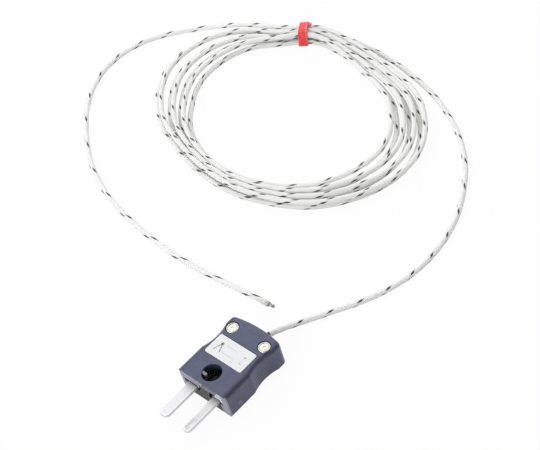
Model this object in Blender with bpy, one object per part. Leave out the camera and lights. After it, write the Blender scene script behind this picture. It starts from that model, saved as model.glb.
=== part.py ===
"""Thermocouple with a miniature two-pin plug, a coiled glass-braid lead and an exposed welded junction.

The plug lies flat on the table with its pins along -Y. The lead leaves at +Y, runs to a tied coil of
loops and comes back to a bare measuring tip. The script is in metres; the values below are millimetres.
"""
import bpy
import bmesh
import numpy as np
from math import atan2, cos, exp, pi, radians, sin, sqrt, tan
from mathutils import Matrix, Vector

MM = 0.001

# Plug body
BODY_WIDTH = 16.2
BODY_LENGTH = 19.5
REAR_BOW = 0.9
BOW_INSET = 2.0
BOW_POINTS = 9
BODY_HEIGHT = 7.4
BASE_HEIGHT = 3.7
PARTING_GAP = 0.2
FLOOR = 1.2
FRONT_CORNER = 0.4
REAR_CORNER = 0.9
TOP_EDGE = 0.45
BOTTOM_EDGE = 0.3
WAIST_START = 8.3
WAIST_END = 16.8
WAIST_DEPTH = 0.8
WAIST_STEPS = 10

# Contact pins, the wide one negative and the narrow one positive
PIN_PITCH = 7.9
PIN_LENGTH = 10.6
PIN_THICKNESS = 0.8
NEGATIVE_WIDTH = 3.2
POSITIVE_WIDTH = 2.4
PIN_TIP_CORNER = 0.85
PIN_SHEET = 0.4
PIN_STEP_Y = -0.3
PIN_LOW = BASE_HEIGHT - PIN_THICKNESS / 2
TANG_WIDTH = 3.7
TANG_START = 7.3
TANG_END = 12.2
TANG_CORNER = 0.4

# Running room round a piece in its hole, and between pieces stacked under a terminal screw
CLEARANCE = 0.2
STACK_GAP = 0.1

# Places along the plug, measured from its front face
FRONT_Y = PIN_LENGTH - (PIN_LENGTH + BODY_LENGTH + REAR_BOW) / 2
HOLE_Y = 3.8
COVER_HOLE = 5.1
BASE_HOLE = 3.4
CAVITY_START = 6.8
CAVITY_END = 18.4
BASE_CAVITY = 12.0
COVER_CAVITY = 12.9
TERMINAL_Y = 9.8
SEAT_WIDTH = 4.6
SEAT_END = 12.4
ROOT = 0.3
SLOT_ROOM = 0.4
KEY_SIZE = (1.6, 0.7)
KEY_BACK = 0.5
KEY_LOW = 5.6
KEY_HIGH = 7.0
SCREW_X = 5.4
SCREW_Y = 16.5
PEG_X = 6.95
PEG_Y = 3.0
PEG = 1.0
PEG_RISE = 1.0
LABEL_CENTRE = (-0.2, 10.55)
LABEL_SIZE = (12.3, 6.1)
LABEL_DEPTH = 0.25
LABEL_THICKNESS = 0.2
LABEL_CORNER = 0.5

# Screws, whose heads are rounded by steps of so much in from the rim and down from the top
COVER_HEAD = 3.4
COVER_HEAD_HEIGHT = 1.0
COVER_HEAD_SINK = 0.05
COVER_RECESS = 3.7
HEAD_ROUNDING = ((0.0, 0.35), (0.2, 0.1), (0.5, 0.0))
POINT_TAPER = 0.25
POINT_LENGTH = 0.4
COVER_SHANK = 1.6
TERMINAL_HEAD = 3.4
TERMINAL_HEAD_HEIGHT = 0.8
TERMINAL_SHANK = 1.8
TERMINAL_TIP = 1.5
COVER_TIP = 1.6
COVER_SEAT = BODY_HEIGHT - COVER_HEAD_HEIGHT - COVER_HEAD_SINK
SCREW_FLOOR = 1.0
GROOVE = 0.5
CROSS_REACH = 0.7
STRAIGHT_REACH = 1.2
POST = 4.4
CLAMP_SIZE = (3.6, 3.4)
CLAMP_THICKNESS = 0.4
CLAMP_CORNER = 0.4

# Lead
CABLE = 1.5
LEG = 0.9
LEG_GAP = 0.14
LEG_BEND_Y = 14.2
WIRE_ASIDE = 1.25
WIRE_END_Y = 8.3
CONDUCTOR = 0.4
WIRE_Z = PIN_LOW + PIN_SHEET + STACK_GAP + CONDUCTOR / 2
CLAMP_LOW = WIRE_Z + CONDUCTOR / 2 + STACK_GAP
TIP_WIRE = 0.36
TIP_SPREAD = 0.72
TIP_LENGTH = 0.55
TIP_GAP = 0.12
BEAD = 0.9
BEAD_GAP = 0.15
BEAD_RINGS = 8
ENTRY_X = 1.3
ENTRY_Z = 3.65
ENTRY_WIDTH = 5.0
ENTRY_HEIGHT = 2.2
ENTRY_ROUNDING = 0.45
ENTRY_LENGTH = 5.0
ENTRY_OUTSIDE = 4.0
LIP_SIZE = (0.7, 1.5)
LIP_PLACE = (2.25, 20.45)
LIP_LOW = 4.9
LIP_HIGH = 5.9
FLOOR_LINE = 0.78
MEETING_GAP = 0.3
POINT_SPACING = 4.6
CURVE_READS = 20
NEIGHBOUR_RUN = 20

# Coil: loop radius every 30 degrees and strand spacing every 60 degrees round its centre
COIL_CENTRE = (-52.5, 81.1)
LOOP_RADII = (41.3, 35.2, 28.9, 28.4, 31.0, 38.2, 40.5, 33.6, 29.0, 29.7, 34.3, 39.2)
LOOP_SPACING = (3.1, 2.2, 2.1, 4.1, 2.9, 2.1)
TURNS = 7
LOOP_POINTS = 24
LAYER_RISE = 1.95
HEADING_STEP = 0.002

# Bundle under the tie: each pass has its place across, in spacings, and its row above the lowest one
TIE_ANGLE = radians(124)
BUNDLE_RADIUS = 31.9
BUNDLE_SPACING = 1.7
BUNDLE_ROW = BUNDLE_SPACING * sin(radians(60))
BUNDLE_LIFT = 0.65
BUNDLE_REACH = 0.06
BUNDLE_STRAIGHT = 0.01
BUNDLE_PLACES = ((1, 0), (0.5, 1), (0, 0), (-1, 0), (-1, 2), (-0.5, 1), (0, 2), (1, 2))
TIE_WIDTH = 3.2
TIE_THICKNESS = 0.45
TIE_ROOM = 0.15
TIE_CORNER = 1.2

# Route of the lead from inside the plug to the tie, chosen by eye
LEAD_ROUTE = (
    (1.3, 12.7, 3.65), (1.3, 15.2, 3.65), (1.4, 17.6, 3.5), (2.15, 21.0, 2.4), (3.3, 24.9, 1.1),
    (7.5, 31.9, 0.78), (11.7, 38.5, 0.78), (14.9, 45.3, 0.78), (16.8, 52.4, 0.78), (17.2, 59.5, 0.78),
    (16.3, 66.9, 0.78), (13.8, 74.8, 0.78), (9.7, 82.6, 0.78), (4.8, 89.6, 0.78), (-2.4, 96.7, 0.78),
    (-9.9, 102.0, 0.78), (-19.3, 107.0, 0.78), (-29.1, 110.4, 0.78), (-38.2, 112.7, 0.78),
    (-47.2, 114.0, 0.78), (-56.0, 114.3, 0.78), (-61.6, 113.6, 0.8), (-66.6, 111.9, 1.0),
)

# Route of the tail from the tie to the end of the sheath, chosen by eye
TAIL_ROUTE = (
    (-75.9, 106.5, 4.25), (-81.5, 104.6, 4.0), (-87.2, 103.2, 3.4), (-93.1, 101.9, 2.1), (-98.4, 99.7, 1.2),
    (-103.6, 96.4, 0.78), (-110.4, 90.2, 0.78), (-115.7, 83.2, 0.78), (-118.3, 74.7, 0.78),
    (-117.6, 65.7, 0.78), (-113.2, 56.4, 0.78), (-105.9, 48.0, 0.78), (-96.7, 40.4, 0.78),
    (-87.7, 34.5, 0.78), (-75.6, 29.3, 0.78), (-63.9, 26.4, 0.78), (-51.9, 24.5, 0.78),
    (-39.7, 23.6, 0.78), (-28.1, 23.8, 0.78), (-16.9, 24.6, 0.78), (-7.8, 25.5, 0.78),
)


def clear_scene():
    for obj in list(bpy.data.objects):
        bpy.data.objects.remove(obj, do_unlink=True)


def material(name, colour, roughness, metallic):
    made = bpy.data.materials.new(name)
    made.use_nodes = True
    shader = made.node_tree.nodes["Principled BSDF"]
    shader.inputs["Base Color"].default_value = (*colour, 1.0)
    shader.inputs["Roughness"].default_value = roughness
    shader.inputs["Metallic"].default_value = metallic
    return made


def place(name, bm, made=None):
    mesh = bpy.data.meshes.new(name)
    bmesh.ops.recalc_face_normals(bm, faces=bm.faces)
    bm.to_mesh(mesh)
    bm.free()
    obj = bpy.data.objects.new(name, mesh)
    bpy.context.collection.objects.link(obj)
    mesh.shade_smooth()
    mesh.set_sharp_from_angle(angle=radians(35))
    if made:
        mesh.materials.append(made)
    return obj


def boolean(target, tool, operation):
    tool.hide_render = True
    tool.display_type = "WIRE"
    step = target.modifiers.new(tool.name, "BOOLEAN")
    step.operation = operation
    step.solver = "EXACT"
    step.object = tool


def cut(target, tool):
    boolean(target, tool, "DIFFERENCE")


def join(target, tool):
    boolean(target, tool, "UNION")


# Outlines in plan
def arc(cx, cy, radius, start, end, steps):
    turns = [start + (end - start) * k / steps for k in range(steps + 1)]
    return [(cx + radius * cos(a), cy + radius * sin(a)) for a in turns]


def rounded(corners, steps=4):
    """Polygon whose corners, given as (x, y, radius), are rounded; a radius of 0 leaves a corner alone."""
    outline = []
    for k, (x, y, radius) in enumerate(corners):
        if radius == 0:
            outline.append((x, y))
            continue
        here = Vector((x, y))
        before = (Vector(corners[k - 1][:2]) - here).normalized()
        after = (Vector(corners[(k + 1) % len(corners)][:2]) - here).normalized()
        half = before.angle(after) / 2
        centre = here + (before + after).normalized() * radius / sin(half)
        start = here + before * radius / tan(half) - centre
        end = here + after * radius / tan(half) - centre
        swing = start.angle_signed(end)
        first = atan2(start.y, start.x)
        outline += arc(centre.x, centre.y, radius, first, first - swing, steps)
    return outline


def body_outline():
    half = BODY_WIDTH / 2
    waist_middle = FRONT_Y + (WAIST_START + WAIST_END) / 2
    chord = (WAIST_END - WAIST_START) / 2
    waist_radius = (chord ** 2 + WAIST_DEPTH ** 2) / (2 * WAIST_DEPTH)
    bow_radius = (half ** 2 + REAR_BOW ** 2) / (2 * REAR_BOW)
    rear = FRONT_Y + BODY_LENGTH
    sweep = atan2(chord, waist_radius - WAIST_DEPTH)
    waist_centre = half - WAIST_DEPTH + waist_radius
    hollow = arc(waist_centre, waist_middle, waist_radius, pi + sweep, pi - sweep, WAIST_STEPS)
    right_waist = [(x, y, 0) for x, y in hollow]
    left_waist = [(-x, y, 0) for x, y, _ in reversed(right_waist)]
    bow = []
    for k in range(BOW_POINTS):
        x = (half - BOW_INSET) * (1 - 2 * k / (BOW_POINTS - 1))
        bow.append((x, rear + REAR_BOW - bow_radius + sqrt(bow_radius ** 2 - x ** 2), 0))
    corners = [(-half, FRONT_Y, FRONT_CORNER), (half, FRONT_Y, FRONT_CORNER)] + right_waist
    corners += [(half, rear, REAR_CORNER)] + bow + [(-half, rear, REAR_CORNER)] + left_waist
    return rounded(corners)


def box_outline(x, y, width, length, corner=0.0):
    spots = ((-1, -1), (1, -1), (1, 1), (-1, 1))
    return rounded([(x + i * width / 2, y + j * length / 2, corner) for i, j in spots])


def disc_outline(x, y, diameter, steps=28):
    return arc(x, y, diameter / 2, 0, 2 * pi, steps)[:-1]


# Solids
def prism(outline, low, high):
    bm = bmesh.new()
    face = bm.faces.new([bm.verts.new((x * MM, y * MM, low * MM)) for x, y in outline])
    raised = bmesh.ops.extrude_face_region(bm, geom=[face])["geom"]
    lifted = [item for item in raised if isinstance(item, bmesh.types.BMVert)]
    bmesh.ops.translate(bm, verts=lifted, vec=(0, 0, (high - low) * MM))
    return bm


def soften(bm, height, size):
    """Rounds the rim of a prism at one height."""
    rim = [e for e in bm.edges if all(abs(v.co.z - height * MM) < 1e-7 for v in e.verts)]
    bmesh.ops.bevel(bm, geom=rim, offset=size * MM, segments=2, profile=0.5, affect="EDGES")
    return bm


def tool(name, outline, low, high):
    return place(name, prism(outline, low, high))


def turned(profile, steps=28):
    """Round piece from (radius, height) pairs that start and end on the axis."""
    bm = bmesh.new()
    line = [bm.verts.new((r * MM, 0, z * MM)) for r, z in profile]
    edges = [bm.edges.new(pair) for pair in zip(line, line[1:])]
    bmesh.ops.spin(bm, geom=line + edges, cent=(0, 0, 0), axis=(0, 0, 1), angle=2 * pi, steps=steps)
    bmesh.ops.remove_doubles(bm, verts=bm.verts, dist=1e-7)
    return bm


def tube(name, points, diameter, resolution, made):
    curve = bpy.data.curves.new(name, "CURVE")
    curve.dimensions = "3D"
    curve.bevel_depth = diameter / 2 * MM
    curve.bevel_resolution = resolution
    curve.use_fill_caps = True
    spline = curve.splines.new("POLY")
    spline.points.add(len(points) - 1)
    for spot, (x, y, z) in zip(spline.points, points):
        spot.co = (x * MM, y * MM, z * MM, 1)
    curve.materials.append(made)
    obj = bpy.data.objects.new(name, curve)
    bpy.context.collection.objects.link(obj)
    return obj


def along(y):
    """Row y of a place measured from the plug's front face."""
    return FRONT_Y + y


# Lower half of the plug, with pin channels, terminal seats, screw posts and locating pegs
def build_base(made):
    base = place("plug_base", soften(prism(body_outline(), 0, BASE_HEIGHT), 0, BOTTOM_EDGE), made)
    middle = along((CAVITY_START + CAVITY_END) / 2)
    depth = CAVITY_END - CAVITY_START
    over = BODY_HEIGHT
    seat_top = PIN_LOW - CLEARANCE
    cut(base, tool("base_cavity", box_outline(0, middle, BASE_CAVITY, depth), FLOOR, over))
    for side, word in ((-1, "left"), (1, "right")):
        seat_middle = along((CAVITY_START - ROOT + SEAT_END) / 2)
        seat = box_outline(side * PIN_PITCH / 2, seat_middle, SEAT_WIDTH, SEAT_END - CAVITY_START + ROOT)
        join(base, tool(word + "_seat", seat, FLOOR - ROOT, seat_top))
        post = disc_outline(side * SCREW_X, along(SCREW_Y), POST)
        join(base, tool(word + "_post", post, FLOOR - ROOT, BASE_HEIGHT - STACK_GAP))
        peg = disc_outline(side * PEG_X, along(PEG_Y), PEG, 16)
        join(base, tool(word + "_peg", peg, BASE_HEIGHT - ROOT, BASE_HEIGHT + PEG_RISE))
        pilot = disc_outline(side * SCREW_X, along(SCREW_Y), COVER_SHANK + 2 * CLEARANCE)
        cut(base, tool(word + "_pilot", pilot, SCREW_FLOOR, over))
        bore = disc_outline(side * PIN_PITCH / 2, along(TERMINAL_Y), TERMINAL_SHANK + 2 * CLEARANCE)
        cut(base, tool(word + "_terminal_bore", bore, SCREW_FLOOR, over))
    for side, word, width in ((-1, "negative", NEGATIVE_WIDTH), (1, "positive", POSITIVE_WIDTH)):
        cut(base, tool(word + "_base_channel", channel_outline(side, width), seat_top, over))
    cut(base, tool("base_hole", disc_outline(0, along(HOLE_Y), BASE_HOLE), -over, over))
    cut(base, entry_tool("base_entry"))
    return base


def channel_outline(side, width):
    """Way of a pin through the front block, open at both ends."""
    return box_outline(side * PIN_PITCH / 2, along(CAVITY_START / 2), width + 2 * CLEARANCE, CAVITY_START + 2)


def entry_tool(name):
    """Slot for the cable through the rear wall, shared by both halves."""
    outline = box_outline(0, 0, ENTRY_WIDTH, ENTRY_HEIGHT, ENTRY_HEIGHT * ENTRY_ROUNDING)
    slot = prism(outline, 0, ENTRY_LENGTH)
    turn = Matrix.Rotation(radians(90), 4, "X")
    shift = Matrix.Translation((0, along(CAVITY_END + ENTRY_OUTSIDE) * MM, ENTRY_Z * MM))
    bmesh.ops.transform(slot, matrix=shift @ turn, verts=slot.verts)
    return place(name, slot)


# Upper half of the plug, with the round hole, the label seat, the screw bosses and a lip over the cable
def build_cover(made):
    low = BASE_HEIGHT + PARTING_GAP
    cover = place("plug_cover", soften(prism(body_outline(), low, BODY_HEIGHT), BODY_HEIGHT, TOP_EDGE), made)
    middle = along((CAVITY_START + CAVITY_END) / 2)
    depth = CAVITY_END - CAVITY_START
    roof = BODY_HEIGHT - FLOOR
    over = BODY_HEIGHT + 1
    cut(cover, tool("cover_cavity", box_outline(0, middle, COVER_CAVITY, depth), 0, roof))
    for side, word in ((-1, "left"), (1, "right")):
        boss = disc_outline(side * SCREW_X, along(SCREW_Y), POST)
        join(cover, tool(word + "_boss", boss, low + STACK_GAP, roof + ROOT))
        passage = disc_outline(side * SCREW_X, along(SCREW_Y), COVER_SHANK + 2 * CLEARANCE)
        cut(cover, tool(word + "_passage", passage, 0, over))
        recess = disc_outline(side * SCREW_X, along(SCREW_Y), COVER_RECESS)
        cut(cover, tool(word + "_recess", recess, COVER_SEAT - STACK_GAP, over))
        socket = disc_outline(side * PEG_X, along(PEG_Y), PEG + 2 * CLEARANCE, 16)
        cut(cover, tool(word + "_socket", socket, 0, BASE_HEIGHT + PEG_RISE + ROOT))
    slot_top = PIN_LOW + PIN_THICKNESS + SLOT_ROOM
    for side, word, width in ((-1, "negative", NEGATIVE_WIDTH), (1, "positive", POSITIVE_WIDTH)):
        cut(cover, tool(word + "_cover_channel", channel_outline(side, width), 0, slot_top))
    cut(cover, tool("cover_hole", disc_outline(0, along(HOLE_Y), COVER_HOLE), 0, over))
    key = box_outline(-COVER_HOLE / 2, along(HOLE_Y - KEY_BACK), *KEY_SIZE)
    join(cover, tool("hole_key", key, KEY_LOW, KEY_HIGH))
    x, y = LABEL_CENTRE
    width, length = (size + 2 * CLEARANCE for size in LABEL_SIZE)
    seat = box_outline(x, along(y), width, length, LABEL_CORNER + CLEARANCE)
    cut(cover, tool("label_seat", seat, BODY_HEIGHT - LABEL_DEPTH, over))
    cut(cover, entry_tool("cover_entry"))
    lip = box_outline(LIP_PLACE[0], along(LIP_PLACE[1]), *LIP_SIZE)
    join(cover, tool("entry_lip", lip, LIP_LOW, LIP_HIGH))
    return cover


def build_label(made):
    x, y = LABEL_CENTRE
    low = BODY_HEIGHT - LABEL_DEPTH + STACK_GAP
    outline = box_outline(x, along(y), LABEL_SIZE[0], LABEL_SIZE[1], LABEL_CORNER)
    return place("label_plate", prism(outline, low, low + LABEL_THICKNESS), made)


# Flat contact pins, thinner inside the plug, where each widens to a tang with a screw hole
def build_pin(name, side, width, made):
    x = side * PIN_PITCH / 2
    tip = along(-PIN_LENGTH)
    corners = [
        (x - width / 2, tip, PIN_TIP_CORNER), (x + width / 2, tip, PIN_TIP_CORNER),
        (x + width / 2, along(TANG_START), 0), (x + TANG_WIDTH / 2, along(TANG_START), 0),
        (x + TANG_WIDTH / 2, along(TANG_END), TANG_CORNER),
        (x - TANG_WIDTH / 2, along(TANG_END), TANG_CORNER),
        (x - TANG_WIDTH / 2, along(TANG_START), 0), (x - width / 2, along(TANG_START), 0),
    ]
    pin = place(name, prism(rounded(corners), PIN_LOW, PIN_LOW + PIN_THICKNESS), made)
    inner_length = BODY_LENGTH - PIN_STEP_Y
    inner = box_outline(x, along(PIN_STEP_Y + inner_length / 2), BODY_WIDTH, inner_length)
    cut(pin, tool(name + "_step", inner, PIN_LOW + PIN_SHEET, BODY_HEIGHT))
    bore = disc_outline(x, along(TERMINAL_Y), TERMINAL_SHANK + 2 * CLEARANCE)
    cut(pin, tool(name + "_bore", bore, 0, BODY_HEIGHT))
    return pin


def build_clamp(name, side, made):
    x = side * PIN_PITCH / 2
    outline = box_outline(x, along(TERMINAL_Y), *CLAMP_SIZE, CLAMP_CORNER)
    plate = place(name, prism(outline, CLAMP_LOW, CLAMP_LOW + CLAMP_THICKNESS), made)
    bore = disc_outline(x, along(TERMINAL_Y), TERMINAL_SHANK + 2 * CLEARANCE)
    cut(plate, tool(name + "_bore", bore, 0, BODY_HEIGHT))
    return plate


# Screws: a low domed head on a plain shank, with a cross or a straight groove
def build_screw(name, x, y, head, head_height, shank, seat, tip, cross, made):
    top = seat + head_height
    point = [(0, tip), (shank / 2 - POINT_TAPER, tip), (shank / 2, tip + POINT_LENGTH)]
    dome = [(head / 2 - inward, top - down) for inward, down in HEAD_ROUNDING]
    profile = point + [(shank / 2, seat), (head / 2, seat)] + dome + [(0, top)]
    screw = place(name, turned(profile), made)
    reach = head * (CROSS_REACH if cross else STRAIGHT_REACH)
    for k in range(2 if cross else 1):
        size = (reach, GROOVE) if k == 0 else (GROOVE, reach)
        groove = tool(f"{name}_groove_{k}", box_outline(0, 0, *size), top - GROOVE, top + GROOVE)
        groove.location = (x * MM, y * MM, 0)
        cut(screw, groove)
    screw.location = (x * MM, y * MM, 0)
    return screw


# Smooth curve through route points, read at an even spacing
def flowing(route, spacing):
    spots = [Vector(p) for p in route]
    spots = [2 * spots[0] - spots[1]] + spots + [2 * spots[-1] - spots[-2]]
    dense = []
    for a, b, c, d in zip(spots, spots[1:], spots[2:], spots[3:]):
        for k in range(CURVE_READS):
            t = k / CURVE_READS
            flat = 2 * b + (c - a) * t
            dense.append((flat + (2 * a - 5 * b + 4 * c - d) * t ** 2 + (3 * b - a - 3 * c + d) * t ** 3) / 2)
    dense.append(spots[-2])
    run = np.cumsum([0] + [(q - p).length for p, q in zip(dense, dense[1:])])
    reads = np.linspace(0, run[-1], max(2, round(run[-1] / spacing) + 1))
    values = np.array([tuple(p) for p in dense])
    return [tuple(np.interp(s, run, values[:, axis]) for axis in range(3)) for s in reads]


def round_the_loop(values, angle):
    """Smooth value read at an angle from values given at even steps round a full turn."""
    count = len(values)
    place_on = angle / (2 * pi) * count % count
    k = int(place_on)
    t = place_on - k
    a, b, c, d = (values[(k + step) % count] for step in (-1, 0, 1, 2))
    return (2 * b + (c - a) * t + (2 * a - 5 * b + 4 * c - d) * t ** 2 + (3 * b - a - 3 * c + d) * t ** 3) / 2


def coil_point(turn):
    """Centre of the cable after a number of turns: the lower layer winds in, the upper one out again."""
    angle = TIE_ANGLE + 2 * pi * turn
    half = TURNS / 2
    wound = abs(turn - half) - half / 2
    climb = min(max((turn - half) * 2 + 0.5, 0), 1)
    loose_radius = round_the_loop(LOOP_RADII, angle) + wound * round_the_loop(LOOP_SPACING, angle)
    loose = Vector((loose_radius, LAYER_RISE * climb))
    at_tie = round(turn)
    across, row = BUNDLE_PLACES[at_tie]
    tied = Vector((BUNDLE_RADIUS + across * BUNDLE_SPACING, BUNDLE_LIFT + row * BUNDLE_ROW))
    radius, rise = loose.lerp(tied, exp(-((turn - at_tie) / BUNDLE_REACH) ** 2))
    x = COIL_CENTRE[0] + radius * cos(angle)
    y = COIL_CENTRE[1] + radius * sin(angle)
    return Vector((x, y, FLOOR_LINE + rise))


def coil_heading(turn):
    ahead = coil_point(turn + HEADING_STEP) - coil_point(turn - HEADING_STEP)
    ahead.z = 0
    return ahead.normalized()


def coil_path():
    start = coil_point(0)
    end = coil_point(TURNS)
    ahead = coil_heading(0)
    away = coil_heading(TURNS)
    path = [start + ahead * MEETING_GAP / 2, start + ahead * (MEETING_GAP / 2 + CABLE)]
    reads = [k / LOOP_POINTS for k in range(1, TURNS * LOOP_POINTS)]
    reads += [k + side * BUNDLE_STRAIGHT for k in range(1, TURNS) for side in (-1, 1)]
    path += [coil_point(turn) for turn in sorted(reads)]
    path += [end - away * (MEETING_GAP / 2 + CABLE), end - away * MEETING_GAP / 2]
    return [tuple(p) for p in path]


def path_length(path):
    return sum((Vector(q) - Vector(p)).length for p, q in zip(path, path[1:]))


def least_gap(path, diameter):
    """Smallest clear distance between strands that are not neighbours along the path."""
    points = np.array(path)
    steps = np.linspace(0, 1, 6)[:-1]
    dense = np.concatenate([p + np.outer(steps, q - p) for p, q in zip(points, points[1:])])
    run = np.concatenate([[0], np.cumsum(np.linalg.norm(np.diff(dense, axis=0), axis=1))])
    apart = np.linalg.norm(dense[:, None] - dense[None, :], axis=2)
    near = np.abs(run[:, None] - run[None, :]) < NEIGHBOUR_RUN
    return np.where(near, np.inf, apart).min() - diameter


def build_cable(braid):
    start = coil_point(0)
    end = coil_point(TURNS)
    ahead = coil_heading(0)
    away = coil_heading(TURNS)
    lead_end = [tuple(start - ahead * (MEETING_GAP / 2 + CABLE)), tuple(start - ahead * MEETING_GAP / 2)]
    tail_start = [tuple(end + away * MEETING_GAP / 2), tuple(end + away * (MEETING_GAP / 2 + CABLE))]
    lead = flowing(LEAD_ROUTE + tuple(lead_end[:1]), POINT_SPACING) + lead_end[1:]
    tail = tail_start[:1] + flowing(tuple(tail_start[1:]) + TAIL_ROUTE, POINT_SPACING)
    coil = coil_path()
    tube("cable_lead", lead, CABLE, 2, braid)
    tube("cable_coil", coil, CABLE, 1, braid)
    tube("cable_tail", tail, CABLE, 2, braid)
    lengths = [path_length(way) for way in (lead, coil, tail)]
    print("cable lengths mm", [round(value, 1) for value in lengths], "sum", round(sum(lengths), 1))
    print("least gap of the coil to itself mm", round(least_gap(coil, CABLE), 3))
    print("least gap along the whole cable mm", round(least_gap(lead + coil + tail, CABLE), 3))
    return tail


# Band round the bundle, square to the strands that it holds
def build_tie(made):
    middle = coil_point(0)
    ahead = coil_heading(0)
    outward = Vector((ahead.y, -ahead.x, 0))
    strands = [coil_point(k) - middle for k in range(TURNS + 1)]
    across = [p.dot(outward) for p in strands]
    heights = [p.z for p in strands]
    room = CABLE / 2 + TIE_ROOM
    width = max(across) - min(across) + 2 * room
    height = max(heights) - min(heights) + 2 * room
    centre = middle + outward * (max(across) + min(across)) / 2
    centre.z = middle.z + (max(heights) + min(heights)) / 2
    outside = box_outline(0, 0, width + 2 * TIE_THICKNESS, height + 2 * TIE_THICKNESS, TIE_CORNER)
    frame = Matrix((
        (outward.x, 0, ahead.x, centre.x * MM), (outward.y, 0, ahead.y, centre.y * MM),
        (0, 1, 0, centre.z * MM), (0, 0, 0, 1)))
    band = prism(outside, -TIE_WIDTH / 2, TIE_WIDTH / 2)
    bmesh.ops.transform(band, matrix=frame, verts=band.verts)
    bore = prism(box_outline(0, 0, width, height, TIE_CORNER - TIE_THICKNESS), -TIE_WIDTH, TIE_WIDTH)
    bmesh.ops.transform(bore, matrix=frame, verts=bore.verts)
    tie = place("coil_tie", band, made)
    cut(tie, place("tie_bore", bore))
    print("tie outside mm", round(width + 2 * TIE_THICKNESS, 2), round(height + 2 * TIE_THICKNESS, 2))
    return tie


# Conductors inside the plug: two braided legs, each ending in a bare wire under a clamp plate
def build_wiring(side, word, leg_made, wire_made):
    wire_x = side * (PIN_PITCH / 2 + WIRE_ASIDE)
    start = (ENTRY_X + side * (LEG + LEG_GAP) / 2, LEAD_ROUTE[0][1] - MEETING_GAP, ENTRY_Z)
    straight = (start[0], start[1] - LEG, start[2])
    bend = ((wire_x + ENTRY_X) / 2, along(LEG_BEND_Y), (WIRE_Z + ENTRY_Z) / 2)
    end = (wire_x, along(TANG_END) + MEETING_GAP, WIRE_Z)
    before_end = (wire_x, end[1] + LEG, WIRE_Z)
    route = (start, straight, bend, before_end)
    tube(f"{word}_leg", flowing(route, 2 * LEG) + [end], LEG, 2, leg_made)
    bare = [(wire_x, along(y), WIRE_Z) for y in (TANG_END, TERMINAL_Y, WIRE_END_Y)]
    tube(f"{word}_conductor", bare, CONDUCTOR, 2, wire_made)


# Measuring tip: two bare wires that meet in a welded bead
def build_tip(tail, wire_made, bead_made):
    end = Vector(tail[-1])
    ahead = (end - Vector(tail[-2])).normalized()
    aside = Vector((-ahead.y, ahead.x, 0)).normalized()
    for side, word in ((-1, "negative"), (1, "positive")):
        start = end + ahead * MEETING_GAP + aside * side * TIP_SPREAD / 2
        straight = start + ahead * TIP_WIRE
        meet = end + ahead * (MEETING_GAP + TIP_LENGTH) + aside * side * (TIP_WIRE + TIP_GAP) / 2
        tube(f"{word}_tip_wire", [tuple(start), tuple(straight), tuple(meet)], TIP_WIRE, 2, wire_made)
    falls = [pi * k / BEAD_RINGS for k in range(BEAD_RINGS + 1)]
    profile = [(BEAD / 2 * sin(fall), -BEAD / 2 * cos(fall)) for fall in falls]
    bead = place("junction_bead", turned(profile, 2 * BEAD_RINGS), bead_made)
    bead.location = (end + ahead * (MEETING_GAP + TIP_LENGTH + BEAD_GAP + BEAD / 2)) * MM


def main():
    clear_scene()
    shell = material("grey_plastic", (0.13, 0.135, 0.18), 0.55, 0.0)
    lid = material("grey_plastic_cover", (0.13, 0.135, 0.18), 0.55, 0.0)
    card = material("white_label", (0.9, 0.9, 0.91), 0.5, 0.0)
    bright = material("pin_metal", (0.68, 0.67, 0.65), 0.3, 1.0)
    steel = material("screw_metal", (0.62, 0.6, 0.55), 0.32, 1.0)
    braid = material("white_braid", (0.82, 0.82, 0.8), 0.8, 0.0)
    red = material("red_band", (0.75, 0.03, 0.03), 0.3, 0.0)
    wire = material("thermocouple_wire", (0.55, 0.53, 0.5), 0.35, 1.0)
    bead = material("weld_bead", (0.4, 0.38, 0.36), 0.45, 1.0)
    build_base(shell)
    build_cover(lid)
    build_label(card)
    build_pin("negative_pin", -1, NEGATIVE_WIDTH, bright)
    build_pin("positive_pin", 1, POSITIVE_WIDTH, bright)
    seat = CLAMP_LOW + CLAMP_THICKNESS + STACK_GAP
    for side, word in ((-1, "negative"), (1, "positive")):
        build_clamp(f"{word}_clamp_plate", side, steel)
        build_screw(f"{word}_terminal_screw", side * PIN_PITCH / 2, along(TERMINAL_Y), TERMINAL_HEAD,
                    TERMINAL_HEAD_HEIGHT, TERMINAL_SHANK, seat, TERMINAL_TIP, False, steel)
        build_wiring(side, word, braid, wire)
    for side, word in ((-1, "left"), (1, "right")):
        build_screw(f"cover_screw_{word}", side * SCREW_X, along(SCREW_Y), COVER_HEAD,
                    COVER_HEAD_HEIGHT, COVER_SHANK, COVER_SEAT, COVER_TIP, True, steel)
    tail = build_cable(braid)
    build_tie(red)
    build_tip(tail, wire, bead)


main()
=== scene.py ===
"""Looks of a thermocouple: a flat two-pin plug, a coiled glass-braid lead held by a red band, and a bare tip.

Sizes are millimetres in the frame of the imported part, and MM turns them into metres. The plug lies flat
with its pins along -Y, and the table is at height 0.
"""
from math import cos, exp, pi, radians, sin, sqrt

import bmesh
import bpy
import numpy as np
from mathutils import Matrix, Vector


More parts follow.
